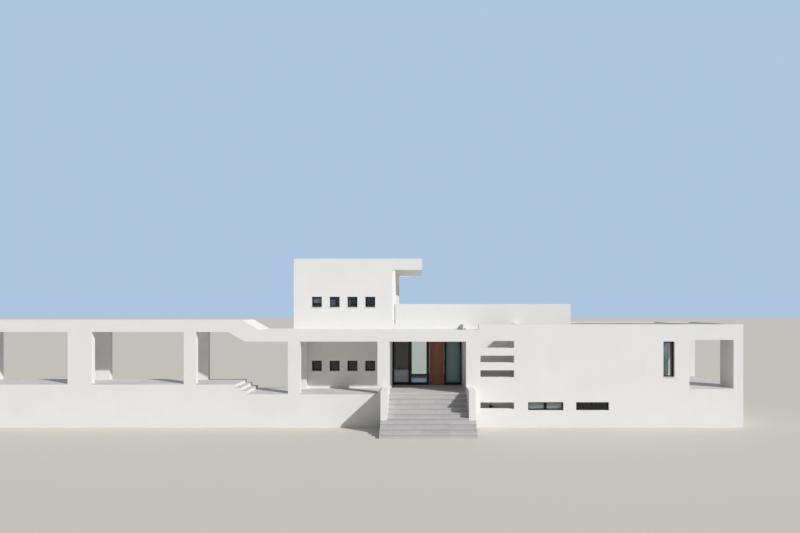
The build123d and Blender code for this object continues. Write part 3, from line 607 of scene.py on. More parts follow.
def sky_and_shade_louvre_material(name, foot_colour, head_colour, roughness, foot_z, head_z):
    """Stiff louvres with painted shade at the foot that turns into a painted sky reflection at the head over
    a quarter of their height, from half way up.
    """
    material, tree, shader = new_material(name, {"Roughness": roughness, "Specular IOR Level": 0.2})
    surface_place = add_node(tree, "ShaderNodeTexCoord")
    parts = add_node(tree, "ShaderNodeSeparateXYZ")
    middle = (foot_z + head_z) / 2
    height = add_node(
        tree, "ShaderNodeMapRange", {"From Min": middle, "From Max": middle + (head_z - foot_z) * 0.25}
    )
    join(tree, (surface_place, "Object", parts, 0), (parts, "Z", height, "Value"))
    # Painted shade below, painted sky reflection above
    painted_sky_and_shade = mix_colours(tree, foot_colour, head_colour, height.outputs["Result"])
    weathered(tree, shader, painted_sky_and_shade, 0.1, 0.2, head_colour, 0.0)
    grain = place_group(tree, "Fine grain", {"Grain Size": 0.0015})
    add_bump(tree, shader, grain.outputs["Height"], 0.15, 0.0004)
    return material


def steel_material(settings):
    """Steel brushed along its length."""
    material, tree, shader = new_material("Brushed steel", {"Roughness": 0.32, "Metallic": 1.0})
    grain = place_group(tree, "Fine grain", {"Grain Size": 0.0008, "Stretch": (1.0, 1.0, 0.02)})
    paler = [part * 1.25 for part in settings.steel]
    toned = mix_colours(tree, settings.steel, paler, grain.outputs["Height"])
    tree.links.new(toned, shader.inputs["Base Color"])
    add_bump(tree, shader, grain.outputs["Height"], 0.15, 0.0003)
    return material


def glass_material(settings):
    """Coated pane glass, which mirrors less than plain glass, with a slight wave."""
    material, tree, shader = new_material(
        "Pane glass",
        {"Roughness": 0.0, "IOR": settings.bend, "Transmission Weight": 1.0,
         "Base Color": opaque(settings.tint)},
    )
    wave = place_group(tree, "Fine grain", {"Grain Size": 0.9})
    add_bump(tree, shader, wave.outputs["Height"], 0.04, 0.004)
    return material


def wood_material(name, dark, light):
    """Oiled boards with upright grain."""
    material, tree, shader = new_material(name, {"Roughness": 0.42})
    tone = add_node(tree, "ShaderNodeAttribute", attribute_name="block_tone")
    grain = place_group(tree, "Fine grain", {"Grain Size": 0.035, "Stretch": (1.0, 1.0, 0.05)})
    fibre = place_group(tree, "Fine grain", {"Grain Size": 0.003, "Stretch": (1.0, 1.0, 0.03)})
    both = add_node(tree, "ShaderNodeMath", {1: 0.35}, operation="MULTIPLY_ADD")
    board = add_node(tree, "ShaderNodeMath", {1: 0.22}, operation="MULTIPLY_ADD")
    spread = add_node(tree, "ShaderNodeMapRange", {"From Min": 0.5, "From Max": 1.1})
    join(
        tree,
        (fibre, "Height", both, 0),
        (grain, "Height", both, 2),
        (tone, "Fac", board, 0),
        (both, 0, board, 2),
        (board, 0, spread, "Value"),
    )
    tree.links.new(mix_colours(tree, dark, light, spread.outputs["Result"]), shader.inputs["Base Color"])
    add_bump(tree, shader, fibre.outputs["Height"], 0.2, 0.0008)
    return material


def finish_nodes(names, material):
    """Gives CAD nodes a better material."""
    for name in names:
        for material_slot in frame["nodes"][name].material_slots:
            material_slot.material = material


def add_piece(name, mesh_source, material, body=HOUSE):
    """Makes an object from a bmesh, which rides on a body."""
    bmesh.ops.recalc_face_normals(mesh_source, faces=mesh_source.faces)
    mesh = bpy.data.meshes.new(name)
    mesh_source.to_mesh(mesh)
    mesh_source.free()
    mesh.materials.append(material)
    piece = bpy.data.objects.new(name, mesh)
    bpy.context.collection.objects.link(piece)
    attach(piece, body)
    return piece


def add_block(mesh_source, low, high, turn=None):
    """Adds a closed block between two corners, turned about its middle if asked."""
    size = high - low
    settled = Matrix.Translation((low + high) / 2) @ (turn or Matrix.Identity(4))
    shape = settled @ Matrix.Diagonal((*size, 1.0))
    return bmesh.ops.create_cube(mesh_source, size=1.0, matrix=shape)["verts"]


def round_edges(mesh_source, corners, width):
    """Rounds the edges that meet at corners of a bmesh."""
    edges = {edge for corner in corners for edge in corner.link_edges}
    bmesh.ops.bevel(
        mesh_source, geom=list(edges), offset=width, segments=2,
        affect="EDGES", profile=0.5, clamp_overlap=True,
    )


def corner_box(points):
    """Lowest and highest corners of the box round some points."""
    return tuple(Vector([pick(values) for values in zip(*points)]) for pick in (min, max))


def laid_blocks(blocks, edge, seed=1):
    """Builds rounded blocks (low, high, turn); the seed sets the tone of each for its material."""
    built = bmesh.new()
    tone = built.faces.layers.float.new("block_tone")
    chance = random.Random(seed)
    for low, high, *turn in blocks:
        known = set(built.faces)
        round_edges(built, add_block(built, low, high, *turn), edge)
        shade = chance.random()
        for face in built.faces:
            if face not in known:
                face[tone] = shade
    return built


def split_span(start, end, wanted, gap):
    """Splits a run into equal stretches of about a wanted length, with gaps between."""
    count = max(1, round((end - start) / wanted))
    pitch = (end - start) / count
    stretches = []
    for i in range(count):
        left = start + i * pitch + (gap / 2 if i else 0.0)
        right = start + (i + 1) * pitch - (gap / 2 if i < count - 1 else 0.0)
        stretches.append((left, right))
    return stretches


def solid_boxes(name):
    """Lowest and highest corners of a node's separate solids, from west to east."""
    shape = bmesh.new()
    shape.from_mesh(frame["nodes"][name].data)
    bmesh.ops.remove_doubles(shape, verts=shape.verts, dist=0.0001)
    unseen = set(shape.verts)
    boxes = []
    while unseen:
        waiting = [unseen.pop()]
        solid = []
        while waiting:
            corner = waiting.pop()
            solid.append(corner.co.copy())
            for line in corner.link_edges:
                other = line.other_vert(corner)
                if other in unseen:
                    unseen.remove(other)
                    waiting.append(other)
        boxes.append(corner_box(solid))
    shape.free()
    return sorted(boxes, key=lambda box: (round(box[0].x, 3), round(box[0].y, 3), box[0].z))


def stacked_boxes(name):
    """Corners of a node's separate solids, from the lowest to the highest."""
    return sorted(solid_boxes(name), key=lambda box: box[0].z)


def add_prism(mesh_source, middle, front, back, outline):
    """Adds a closed prism with rounded edges: an outline in X and Z, drawn out along Y."""
    front_ring = [mesh_source.verts.new(middle + Vector((x, front, z))) for x, z in outline]
    back_ring = [mesh_source.verts.new(middle + Vector((x, back, z))) for x, z in outline]
    mesh_source.faces.new(front_ring)
    mesh_source.faces.new(list(reversed(back_ring)))
    for i in range(len(outline)):
        j = (i + 1) % len(outline)
        mesh_source.faces.new((front_ring[i], front_ring[j], back_ring[j], back_ring[i]))
    round_edges(mesh_source, front_ring + back_ring, PRISM_EDGE)


def add_tube(mesh_source, points, radius, sides=20):
    """Adds a closed round tube along points."""
    points = [Vector(point) for point in points]
    rings = []
    along = (points[1] - points[0]).normalized()
    normal = along.orthogonal().normalized()
    for i, point in enumerate(points):
        ahead = (points[min(i + 1, len(points) - 1)] - points[max(i - 1, 0)]).normalized()
        normal = along.rotation_difference(ahead) @ normal
        along = ahead
        side = along.cross(normal)
        ring = []
        for k in range(sides):
            angle = math.tau * k / sides
            offset = normal * math.cos(angle) + side * math.sin(angle)
            ring.append(mesh_source.verts.new(point + offset * radius))
        rings.append(ring)
    for first, second in zip(rings, rings[1:]):
        for k in range(sides):
            j = (k + 1) % sides
            mesh_source.faces.new((first[k], first[j], second[j], second[k]))
    mesh_source.faces.new(list(reversed(rings[0])))
    mesh_source.faces.new(rings[-1])


class HOUSE_OT_shader_groups(bpy.types.Operator):
    """Build the shader groups that several finishes share"""

    bl_idname = "beach_house.shader_groups"
    bl_label = "Shader groups"

    def execute(self, context):
        make_tone_group()
        make_rain_group()
        make_grain_group()
        make_slab_group()
        return {"FINISHED"}


class HOUSE_OT_render_coat(bpy.types.Operator):
    """Paint the walls, piers, beams and roofs"""

    bl_idname = "beach_house.render_coat"
    bl_label = "Painted walls"

    def execute(self, context):
        coat = context.scene.beach_house.coat
        finish_nodes(RENDERED_NODES, render_coat_material("Painted render", coat.colour, coat))
        # The light well gets a warmer copy of the render as painted warm bounce light
        finish_nodes(("light_well_walls",), render_coat_material("Well render with painted bounce", coat.well_colour_with_painted_bounce, coat))
        return {"FINISHED"}


class HOUSE_OT_stonework(bpy.types.Operator):
    """Lay the grey stone of the paving and the sills"""

    bl_idname = "beach_house.stonework"
    bl_label = "Paving and sills"

    def execute(self, context):
        stone = context.scene.beach_house.stone
        paving = slab_material(
            "Paving stone", stone.paving, stone.pale_paving, stone.joint,
            (stone.slab_length, stone.slab_width), stone.joint_width, 0.3, 0.6,
        )
        finish_nodes(("porch_paving",), paving)
        finish_nodes(("window_sills",), coated_material("Sill stone", stone.sill, 0.6, 0.004, 0.001))
        core = coated_material("Cast core", stone.joint, 0.9, 0.02, 0.003, 0.2)
        finish_nodes(("stair_core",), core)
        return {"FINISHED"}


class HOUSE_OT_stair_stones(bpy.types.Operator):
    """Lay the treads and risers of the entrance stair stone by stone"""

    bl_idname = "beach_house.stair_stones"
    bl_label = "Stair stones"

    def execute(self, context):
        stone = context.scene.beach_house.stone
        material = block_stone_material("Stair stone", stone.colour, stone.pale, 0.55, 0.004, 0.15)
        treads = laid_blocks(tread_stones(stone), stone.edge, 3)
        risers = laid_blocks(riser_stones(stone), stone.edge / 4, 5)
        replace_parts(add_piece("stair_tread_stones", treads, material), "stair_treads")
        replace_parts(add_piece("stair_riser_stones", risers, material), "stair_risers")
        return {"FINISHED"}


class HOUSE_OT_cheek_ends(bpy.types.Operator):
    """Carry the stair cheeks forward to the wide steps, with a stone skirting at their feet"""

    bl_idname = "beach_house.cheek_ends"
    bl_label = "Stair cheek ends"

    def execute(self, context):
        stone = context.scene.beach_house.stone
        treads = stacked_boxes("stair_treads")
        foot_z = treads[2][1].z
        front_y = treads[3][0].y + CORE_SETBACK
        ends = []
        skirting = []
        for low, high in solid_boxes("stair_cheeks"):
            ends.append((Vector((low.x, front_y, foot_z)), Vector((high.x, low.y, high.z))))
            skirting.append((
                Vector((low.x - 0.008, front_y - 0.012, foot_z)),
                Vector((high.x + 0.008, front_y, foot_z + stone.skirting)),
            ))
        coat = bpy.data.materials["Painted render"]
        add_piece("stair_cheek_ends", laid_blocks(ends, 0.0005, 79), coat)
        material = bpy.data.materials["Stair stone"]
        add_piece("stair_skirting", laid_blocks(skirting, 0.002, 83), material)
        return {"FINISHED"}


def staggered_cuts(left, right, shift, stone):
    """Cuts a row of the stair into stones with joints, the first as long as the shift, if any."""
    if not shift:
        return split_span(left, right, stone.stair_stone, stone.joint_width)
    first = left + shift
    half = stone.joint_width / 2
    rest = split_span(first + half, right, stone.stair_stone, stone.joint_width)
    return [(left, first - half), *rest]


def tread_stones(stone):
    """Corners of the tread stones; side pieces fill in where a tread runs on beside the cheeks."""
    treads = stacked_boxes("stair_treads")
    depth = min(high.y - low.y for low, high in treads)
    cheek_low, cheek_high = solid_boxes("stair_cheeks")[0]
    side_width = cheek_high.x - cheek_low.x
    stones = []
    for i, (low, high) in enumerate(treads):
        back = low.y + depth
        shift = stone.stair_stone * (0.0 if i % 2 else 0.5)
        for left, right in staggered_cuts(low.x, high.x, shift, stone):
            stones.append((Vector((left, low.y, low.z)), Vector((right, back, high.z))))
        if high.y > back + 0.01:
            for left, right in ((low.x, low.x + side_width), (high.x - side_width, high.x)):
                start = back + stone.joint_width
                stones.append((Vector((left, start, low.z)), Vector((right, high.y, high.z))))
    return stones


def riser_stones(stone):
    """Corners of the riser stones, thin and set back under the tread above."""
    stones = []
    for i, (low, high) in enumerate(stacked_boxes("stair_risers")):
        shift = stone.stair_stone * (0.5 if i % 2 else 0.25)
        for left, right in staggered_cuts(low.x, high.x, shift, stone):
            stones.append((
                Vector((left, high.y - stone.riser_thickness, low.z)),
                Vector((right, high.y, high.z - stone.open_joint)),
            ))
    return stones


class HOUSE_OT_floors(bpy.types.Operator):
    """Lay the tiles of the floors indoors"""

    bl_idname = "beach_house.floors"
    bl_label = "Floors"

    def execute(self, context):
        floors = context.scene.beach_house.floors
        stone = context.scene.beach_house.stone
        # The tiles' dark teal carries painted shade and painted sky reflection besides the stone's own
        # colour
        tiles = slab_material(
            "Floor tiles", floors.colour, floors.pale, stone.joint, (floors.tile, floors.tile), 0.003, 0.0,
            0.16, 0.15,
        )
        finish_nodes(("hall_floor", "living_floor"), tiles)
        return {"FINISHED"}


class HOUSE_OT_roof_covering(bpy.types.Operator):
    """Lay felt on the tower and the living wing, and pavers on the roof terrace"""

    bl_idname = "beach_house.roof_covering"
    bl_label = "Roof covering"

    def execute(self, context):
        roofs = context.scene.beach_house.roofs
        felt = block_stone_material("Mineral felt", roofs.felt, roofs.pale_felt, 0.95, 0.003, 0.25)
        tower_low, tower_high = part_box("tower_roof")
        tray = (
            Vector((tower_low.x + UPSTAND_WIDTH, tower_low.y + UPSTAND_WIDTH, tower_high.z)),
            Vector((tower_high.x - UPSTAND_WIDTH, tower_high.y - UPSTAND_WIDTH, tower_high.z)),
        )
        rolls = felt_rolls(*tray, roofs)
        hall_low, hall_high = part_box("hall_roof")
        living_low, living_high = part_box("living_roof")
        roof_z = living_high.z - LIVING_ROOF_DROP
        kerb_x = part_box("living_end_wall")[1].x + ROOF_EDGE
        back_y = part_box("living_back_wall")[1].y - ROOF_EDGE
        strips = (
            (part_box("light_well_walls")[1].x, living_low.y, hall_high.x, hall_low.y),
            (hall_high.x, living_low.y, kerb_x, back_y),
            (kerb_x + KERB_WIDTH, living_low.y, living_high.x, back_y),
        )
        for x0, y0, x1, y1 in strips:
            rolls += felt_rolls(Vector((x0, y0, roof_z)), Vector((x1, y1, roof_z)), roofs)
        add_piece("roof_felt", laid_blocks(rolls, 0.0015, 7), felt)
        pavers = block_stone_material(
            "Roof pavers", roofs.paver_colour, roofs.pale_paver, 0.75, 0.003, 0.2
        )
        parapet_low, parapet_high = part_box("roof_terrace_parapet")
        inset = PARAPET_WIDTH + PAVER_CLEARANCE
        paved = paver_blocks(
            Vector((parapet_low.x + PAVER_CLEARANCE, parapet_low.y + inset, hall_high.z)),
            Vector((parapet_high.x - inset, parapet_high.y - inset, hall_high.z)), roofs,
        )
        add_piece("roof_terrace_pavers", laid_blocks(paved, 0.003, 11), pavers)
        return {"FINISHED"}


def felt_rolls(low, high, roofs):
    """Rolls of felt side by side, each second one lapped over its neighbours."""
    rolls = []
    for i, (left, right) in enumerate(split_span(low.x, high.x, roofs.roll, 0.0)):
        over = i % 2 == 1
        lift = roofs.felt_thickness if over else 0.0
        reach = roofs.lap / 2 if over else 0.0
        rolls.append((
            Vector((left - reach, low.y, low.z + lift)),
            Vector((
                min(right + reach, high.x), high.y,
                low.z + lift + roofs.insulation + roofs.felt_thickness,
            )),
        ))
    return rolls


def paver_blocks(low, high, roofs):
    """Square pavers with open gaps."""
    blocks = []
    for left, right in split_span(low.x, high.x, roofs.paver, roofs.paver_gap):
        for front, back in split_span(low.y, high.y, roofs.paver, roofs.paver_gap):
            blocks.append((
                Vector((left, front, low.z)), Vector((right, back, low.z + roofs.paver_thickness)),
            ))
    return blocks


class HOUSE_OT_frames_and_glass(bpy.types.Operator):
    """Finish the screens, window frames, panes and steel fittings, and add glazing beads"""

    bl_idname = "beach_house.frames_and_glass"
    bl_label = "Frames and glass"

    def execute(self, context):
        settings = context.scene.beach_house
        coat = coated_material("Powder coated frame", settings.metal.frame, 0.45, 0.0012, 0.0005, 0.06, 0.2)
        seal = coated_material("Rubber seal", settings.metal.seal, 0.7, 0.002, 0.0005, 0.06, 0.1)
        finish_nodes(("screen_posts", "screen_rails", "window_frames"), coat)
        finish_nodes(("screen_glass", "window_panes"), glass_material(settings.glass))
        finish_nodes(("door_hinges", "door_fittings"), steel_material(settings.metal))
        panes = solid_boxes("window_panes") + solid_boxes("screen_glass")
        beads = []
        for low, high in panes:
            beads += pane_beads(low, high, settings.metal.bead)
        add_piece("glazing_seals", laid_blocks(beads, 0.002), seal)
        return {"FINISHED"}


def pane_beads(low, high, width):
    """Beads round a pane on both of its faces."""
    across = 1 if high.x - low.x > high.y - low.y else 0
    along = 1 - across
    beads = []
    for face, out in ((low[across], -1.0), (high[across], 1.0)):
        near, far = sorted((face, face + out * width))
        runs = (
            (low[along], high[along], low.z, low.z + width),
            (low[along], high[along], high.z - width, high.z),
            (low[along], low[along] + width, low.z + width, high.z - width),
            (high[along] - width, high[along], low.z + width, high.z - width),
        )
        for u0, u1, z0, z1 in runs:
            first = Vector((u0, near, z0)) if across else Vector((near, u0, z0))
            second = Vector((u1, far, z1)) if across else Vector((far, u1, z1))
            beads.append((first, second))
    return beads


def window_holes():
    """Window openings as (low, high, outward), read from the frames' boxes."""
    tower_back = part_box("tower_back_wall")[1].y
    living_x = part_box("hall_east_wall")[0].x
    holes = []
    for low, high in solid_boxes("window_frames"):
        in_living_back = low.y > FRONT_Y + 4.0 and low.x > living_x
        if high.x - low.x < 0.1:
            outward = Vector((1.0, 0.0, 0.0))
        elif low.y > tower_back - 0.4 or in_living_back:
            outward = Vector((0.0, 1.0, 0.0))
        else:
            outward = Vector((0.0, -1.0, 0.0))
        holes.append((low, high, outward))
    if not holes:
        raise RuntimeError("the house has no window frames")
    return holes


def louvred_leaf(blocks, low, high, blinds):
    """A framed leaf with leaning slats that fills a thin upright box."""
    along = 0 if high.x - low.x > high.y - low.y else 1
    across = 1 - along
    stile = blinds.stile
    u0, u1 = low[along], high[along]
    n0, n1 = low[across], high[across]

    def corner(u, n, z):
        """A point from along the leaf, through it and up."""
        return Vector((u, n, z)) if along == 0 else Vector((n, u, z))

    for a, b, z0, z1 in (
        (u0, u1, low.z, low.z + stile), (u0, u1, high.z - stile, high.z),
        (u0, u0 + stile, low.z + stile, high.z - stile), (u1 - stile, u1, low.z + stile, high.z - stile),
    ):
        blocks.append((corner(a, n0, z0), corner(b, n1, z1)))
    turn = Matrix.Rotation(blinds.tilt * (1.0 if along == 0 else -1.0), 4, "X" if along == 0 else "Y")
    middle = (n0 + n1) / 2
    count = int((high.z - low.z - 2 * stile) / blinds.pitch)
    start = (low.z + high.z - (count - 1) * blinds.pitch) / 2
    for i in range(count):
        z = start + i * blinds.pitch
        first = corner(u0 + stile, middle - 0.003, z - blinds.slat / 2)
        second = corner(u1 - stile, middle + 0.003, z + blinds.slat / 2)
        blocks.append((first, second, turn))


def upright_louvres(blocks, low, high, blinds, seed):
    """Upright louvres that hang from a head rail, each turned a little differently."""
    chance = random.Random(seed)
    blocks.append((Vector((low.x, low.y - 0.02, high.z - 0.04)), Vector((high.x, high.y + 0.02, high.z))))
    middle = (low.y + high.y) / 2
    for left, right in split_span(low.x, high.x, blinds.louvre * 0.88, 0.0):
        centre = (left + right) / 2
        turn = Matrix.Rotation(blinds.turn + math.radians(chance.uniform(-5.0, 5.0)), 4, "Z")
        first = Vector((centre - blinds.louvre / 2, middle - 0.0015, low.z))
        second = Vector((centre + blinds.louvre / 2, middle + 0.0015, high.z - 0.045))
        blocks.append((first, second, turn))


class HOUSE_OT_shutters(bpy.types.Operator):
    """Hang the louvred shutters and the upright louvre blinds"""

    bl_idname = "beach_house.shutters"
    bl_label = "Shutters and blinds"

    def execute(self, context):
        settings = context.scene.beach_house
        blinds = settings.blinds
        white = coated_material("White coated metal", settings.metal.white, 0.45, 0.0015, 0.0005, 0.03)
        dark = coated_material("Dark shutter", settings.metal.frame, 0.6, 0.002, 0.0008)
        holes = window_holes()
        roof_door = [hole for hole in holes if hole[2].x > 0 and hole[0].z > FLOOR_Z + 2.5]
        leaf = []
        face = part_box("tower_east_wall")[1].x
        gap = 0.012
        for low, high, _ in roof_door:
            louvred_leaf(
                leaf, Vector((face - 0.05, low.y + gap, low.z + 0.035)),
                Vector((face - gap, high.y - gap, high.z - gap)), blinds,
            )
        add_piece("roof_door_shutter", laid_blocks(leaf, 0.0015, 13), white)
        inner = []
        for low, high, outward in holes:
            if outward.y > 0 and high.x - low.x < 0.6 and high.z - low.z < 0.6:
                louvred_leaf(
                    inner, Vector((low.x + 0.004, low.y - 0.06, low.z + 0.004)),
                    Vector((high.x - 0.004, low.y - 0.025, high.z - 0.004)), blinds,
                )
        add_piece("back_window_shutters", laid_blocks(inner, 0.0015, 17), dark)
        self.hang_louvres(holes, blinds)
        self.hang_tower_blind(holes, blinds)
        return {"FINISHED"}

    def hang_tower_blind(self, holes, blinds):
        """Hangs a half drawn slatted blind in the west window of the tower's upper floor; its pale blue
        slats at the window's head are a painted sky reflection.
        """
        low, high, _ = [hole for hole in holes if hole[2].y < 0 and hole[0].z > FLOOR_Z + 3.0][0]
        slats = [(
            Vector((low.x + 0.045, high.y - 0.02, high.z - 0.07)),
            Vector((high.x - 0.045, high.y + 0.02, high.z - 0.045)),
        )]
        turn = Matrix.Rotation(blinds.tilt, 4, "X")
        for i in range(10):
            z = high.z - 0.085 - i * 0.022
            slats.append((
                Vector((low.x + 0.05, high.y + 0.009, z - 0.0125)),
                Vector((high.x - 0.05, high.y + 0.011, z + 0.0125)), turn,
            ))
        material = coated_material("Tower blind", blinds.tower, 0.5, 0.002, 0.0004)
        add_piece("tower_blind", laid_blocks(slats, 0.0005, 73), material)

    def hang_louvres(self, holes, blinds):
        """Hangs the louvres behind the right pane of the entrance and in the tall window."""
        low, high = [box for box in solid_boxes("screen_glass") if box[0].y < FRONT_Y + 5.0][-1]
        green = []
        upright_louvres(
            green, Vector((low.x - 0.02, high.y + 0.14, FLOOR_Z + 0.02)),
            Vector((high.x + 0.02, high.y + 0.14, high.z + 0.03)), blinds, 19,
        )
        material = coated_material("Green louvre", blinds.green, 0.7, 0.002, 0.0004)
        add_piece("entrance_louvres", laid_blocks(green, 0.0004, 19), material)
        tall = [hole for hole in holes if hole[2].y < 0 and hole[1].z - hole[0].z > 1.2]
        pale = []
        for low, high, _ in tall:
            upright_louvres(
                pale, Vector((low.x + 0.03, high.y + 0.07, low.z + 0.02)),
                Vector((low.x + 0.62 * (high.x - low.x), high.y + 0.07, high.z - 0.005)), blinds, 23,
            )
        # These louvres carry painted shade at their foot and a painted sky reflection at their head
        material = sky_and_shade_louvre_material("Pale louvre", blinds.shaded, blinds.pale, 0.7, tall[0][0].z, tall[0][1].z)
        add_piece("tall_window_louvres", laid_blocks(pale, 0.0004, 23), material)
        basement = [hole for hole in holes if hole[1].z < FLOOR_Z]
        pale_board = coated_material("Inner board", blinds.board, 0.7, 0.003, 0.0004)
        # Black boards behind the east basement panes paint in the shade of the room behind them
        painted_shade_board = coated_material("Painted shade board", blinds.painted_shade_board, 0.9, 0.003, 0.0004, 0.06, 0.0)
        for name, material, (low, high, _) in zip(
            ("west_basement_boards", "east_basement_shade_boards"), (pale_board, painted_shade_board), basement
        ):
            boards = []
            for left, right in split_span(low.x + 0.02, high.x - 0.02, 0.8, 0.11):
                first = Vector((left, high.y + 0.03, low.z + 0.02))
                boards.append((first, Vector((right, high.y + 0.05, high.z - 0.02))))
            add_piece(name, laid_blocks(boards, 0.003, 29), material)


class HOUSE_OT_entrance_door(bpy.types.Operator):
    """Build the entrance door from upright boards"""

    bl_idname = "beach_house.entrance_door"
    bl_label = "Entrance door"

    def execute(self, context):
        wood = context.scene.beach_house.wood
        low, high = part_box("entrance_door")
        boards = []
        for left, right in split_span(low.x, high.x, (high.x - low.x) / wood.boards, wood.groove):
            boards.append((Vector((left, low.y, low.z)), Vector((right, high.y, high.z))))
        built = laid_blocks(boards, 0.002, 31)
        core_inset = Vector((0.004, 0.008, 0.004))
        add_block(built, low + core_inset, high - core_inset)
        material = wood_material("Oiled door boards", wood.dark, wood.light)
        leaf = add_piece("door_boards", built, material, DOOR)
        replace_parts(leaf, "entrance_door")
        return {"FINISHED"}


class HOUSE_OT_hall_furniture(bpy.types.Operator):
    """Set a dark cupboard and a pale console behind the left pane of the entrance"""

    bl_idname = "beach_house.hall_furniture"
    bl_label = "Hall furniture"

    def execute(self, context):
        wood = context.scene.beach_house.wood
        stone = context.scene.beach_house.stone
        # Carcass, plinth, two leaves and their pulls
        cupboard = [
            (place(-1.70, 3.92, 0.08), place(-0.90, 4.42, 2.36)),
            (place(-1.66, 3.98, 0.0), place(-0.94, 4.40, 0.08)),
            (place(-1.695, 3.895, 0.09), place(-1.303, 3.918, 2.35)),
            (place(-1.297, 3.895, 0.09), place(-0.905, 3.918, 2.35)),
            (place(-1.345, 3.865, 0.95), place(-1.325, 3.893, 1.35)),
            (place(-1.275, 3.865, 0.95), place(-1.255, 3.893, 1.35)),
        ]
        material = wood_material("Cupboard wood", wood.cupboard_dark, wood.cupboard_light)
        add_piece("hall_cupboard", laid_blocks(cupboard, 0.003, 37), material)
        # Top, two ends and two front panels
        console = [
            (place(-1.72, 3.32, 0.68), place(-0.95, 3.72, 0.74)),
            (place(-1.71, 3.33, 0.0), place(-1.65, 3.70, 0.678)),
            (place(-1.02, 3.33, 0.0), place(-0.96, 3.70, 0.678)),
            (place(-1.645, 3.335, 0.04), place(-1.338, 3.365, 0.676)),
            (place(-1.332, 3.335, 0.04), place(-1.025, 3.365, 0.676)),
        ]
        material = block_stone_material("Console stone", stone.sill, stone.console, 0.5, 0.003, 0.0)
        add_piece("hall_console", laid_blocks(console, 0.003, 41), material)
        return {"FINISHED"}


class HOUSE_OT_lamps(bpy.types.Operator):
    """Fix the floodlight on the portico roof and the lamp under the overhang"""

    bl_idname = "beach_house.lamps"
    bl_label = "Lamps"

    def execute(self, context):
        metal = context.scene.beach_house.metal
        grey = coated_material("Lamp housing", metal.lamp, 0.5, 0.0015, 0.0005)
        white = coated_material("Lamp cover", metal.white, 0.4, 0.0015, 0.0004)
        base = place(1.5, 0.14, 2.96)
        # Foot, the two arms of the bracket and the cooling fins
        housing = [
            (base + Vector((-0.07, -0.05, 0.0)), base + Vector((0.07, 0.05, 0.012))),
            (base + Vector((-0.012, -0.085, 0.0)), base + Vector((0.012, -0.077, 0.14))),
            (base + Vector((-0.012, 0.077, 0.0)), base + Vector((0.012, 0.085, 0.14))),
        ]
        half_fin = Vector((0.012, 0.06, 0.004))
        for i in range(6):
            fin = base + Vector((0.15, 0.0, 0.06 + i * 0.03))
            housing.append((fin - half_fin, fin + half_fin))
        built = laid_blocks(housing, 0.0015, 43)
        add_prism(
            built, base, -0.075, 0.075,
            ((-0.145, 0.02), (0.14, 0.02), (0.14, 0.245), (0.05, 0.265), (0.0, 0.2), (-0.145, 0.06)),
        )
        add_tube(
            built,
            (base + Vector((0.07, 0.0, 0.01)), base + Vector((0.13, 0.01, 0.009)),
             base + Vector((0.18, 0.03, 0.009)), base + Vector((0.2, 0.03, 0.01))), 0.006, 12,
        )
        box = add_block(built, base + Vector((0.195, 0.0, 0.0)), base + Vector((0.265, 0.06, 0.075)))
        round_edges(built, box, 0.006)
        add_piece("roof_floodlight", built, grey)
        cover = bmesh.new()
        add_prism(
            cover, base, -0.062, 0.062,
            ((-0.14, 0.066), (-0.008, 0.2), (-0.012, 0.206), (-0.145, 0.072)),
        )
        add_piece("floodlight_glass", cover, white)
        soffit_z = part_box("tower_roof")[0].z
        east_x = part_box("tower_east_wall")[1].x
        back_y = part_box("tower_back_wall")[1].y
        batten_low = Vector((east_x + 0.05, back_y - 0.5, soffit_z - 0.035))
        glow = coated_material("Lamp tube", metal.white, 0.4, 0.0015, 0.0004)
        shader = glow.node_tree.nodes["Principled BSDF"]
        shader.inputs["Emission Color"].default_value = opaque(metal.white)
        shader.inputs["Emission Strength"].default_value = metal.lamp_glow
        # The batten and its two end caps
        batten = laid_blocks(
            [(batten_low, batten_low + Vector((0.62, 0.07, 0.035))),
             (batten_low + Vector((-0.02, -0.003, -0.055)), batten_low + Vector((0.0, 0.073, 0.035))),
             (batten_low + Vector((0.62, -0.003, -0.055)), batten_low + Vector((0.64, 0.073, 0.035)))],
            0.003, 53,
        )
        start = batten_low + Vector((0.0, 0.035, -0.012))
        add_piece("overhang_lamp", batten, white)
        tube = bmesh.new()
        add_tube(tube, (start + Vector((0.001, 0.0, -0.02)), start + Vector((0.619, 0.0, -0.02))), 0.019, 20)
        add_piece("overhang_lamp_tube", tube, glow)
        return {"FINISHED"}


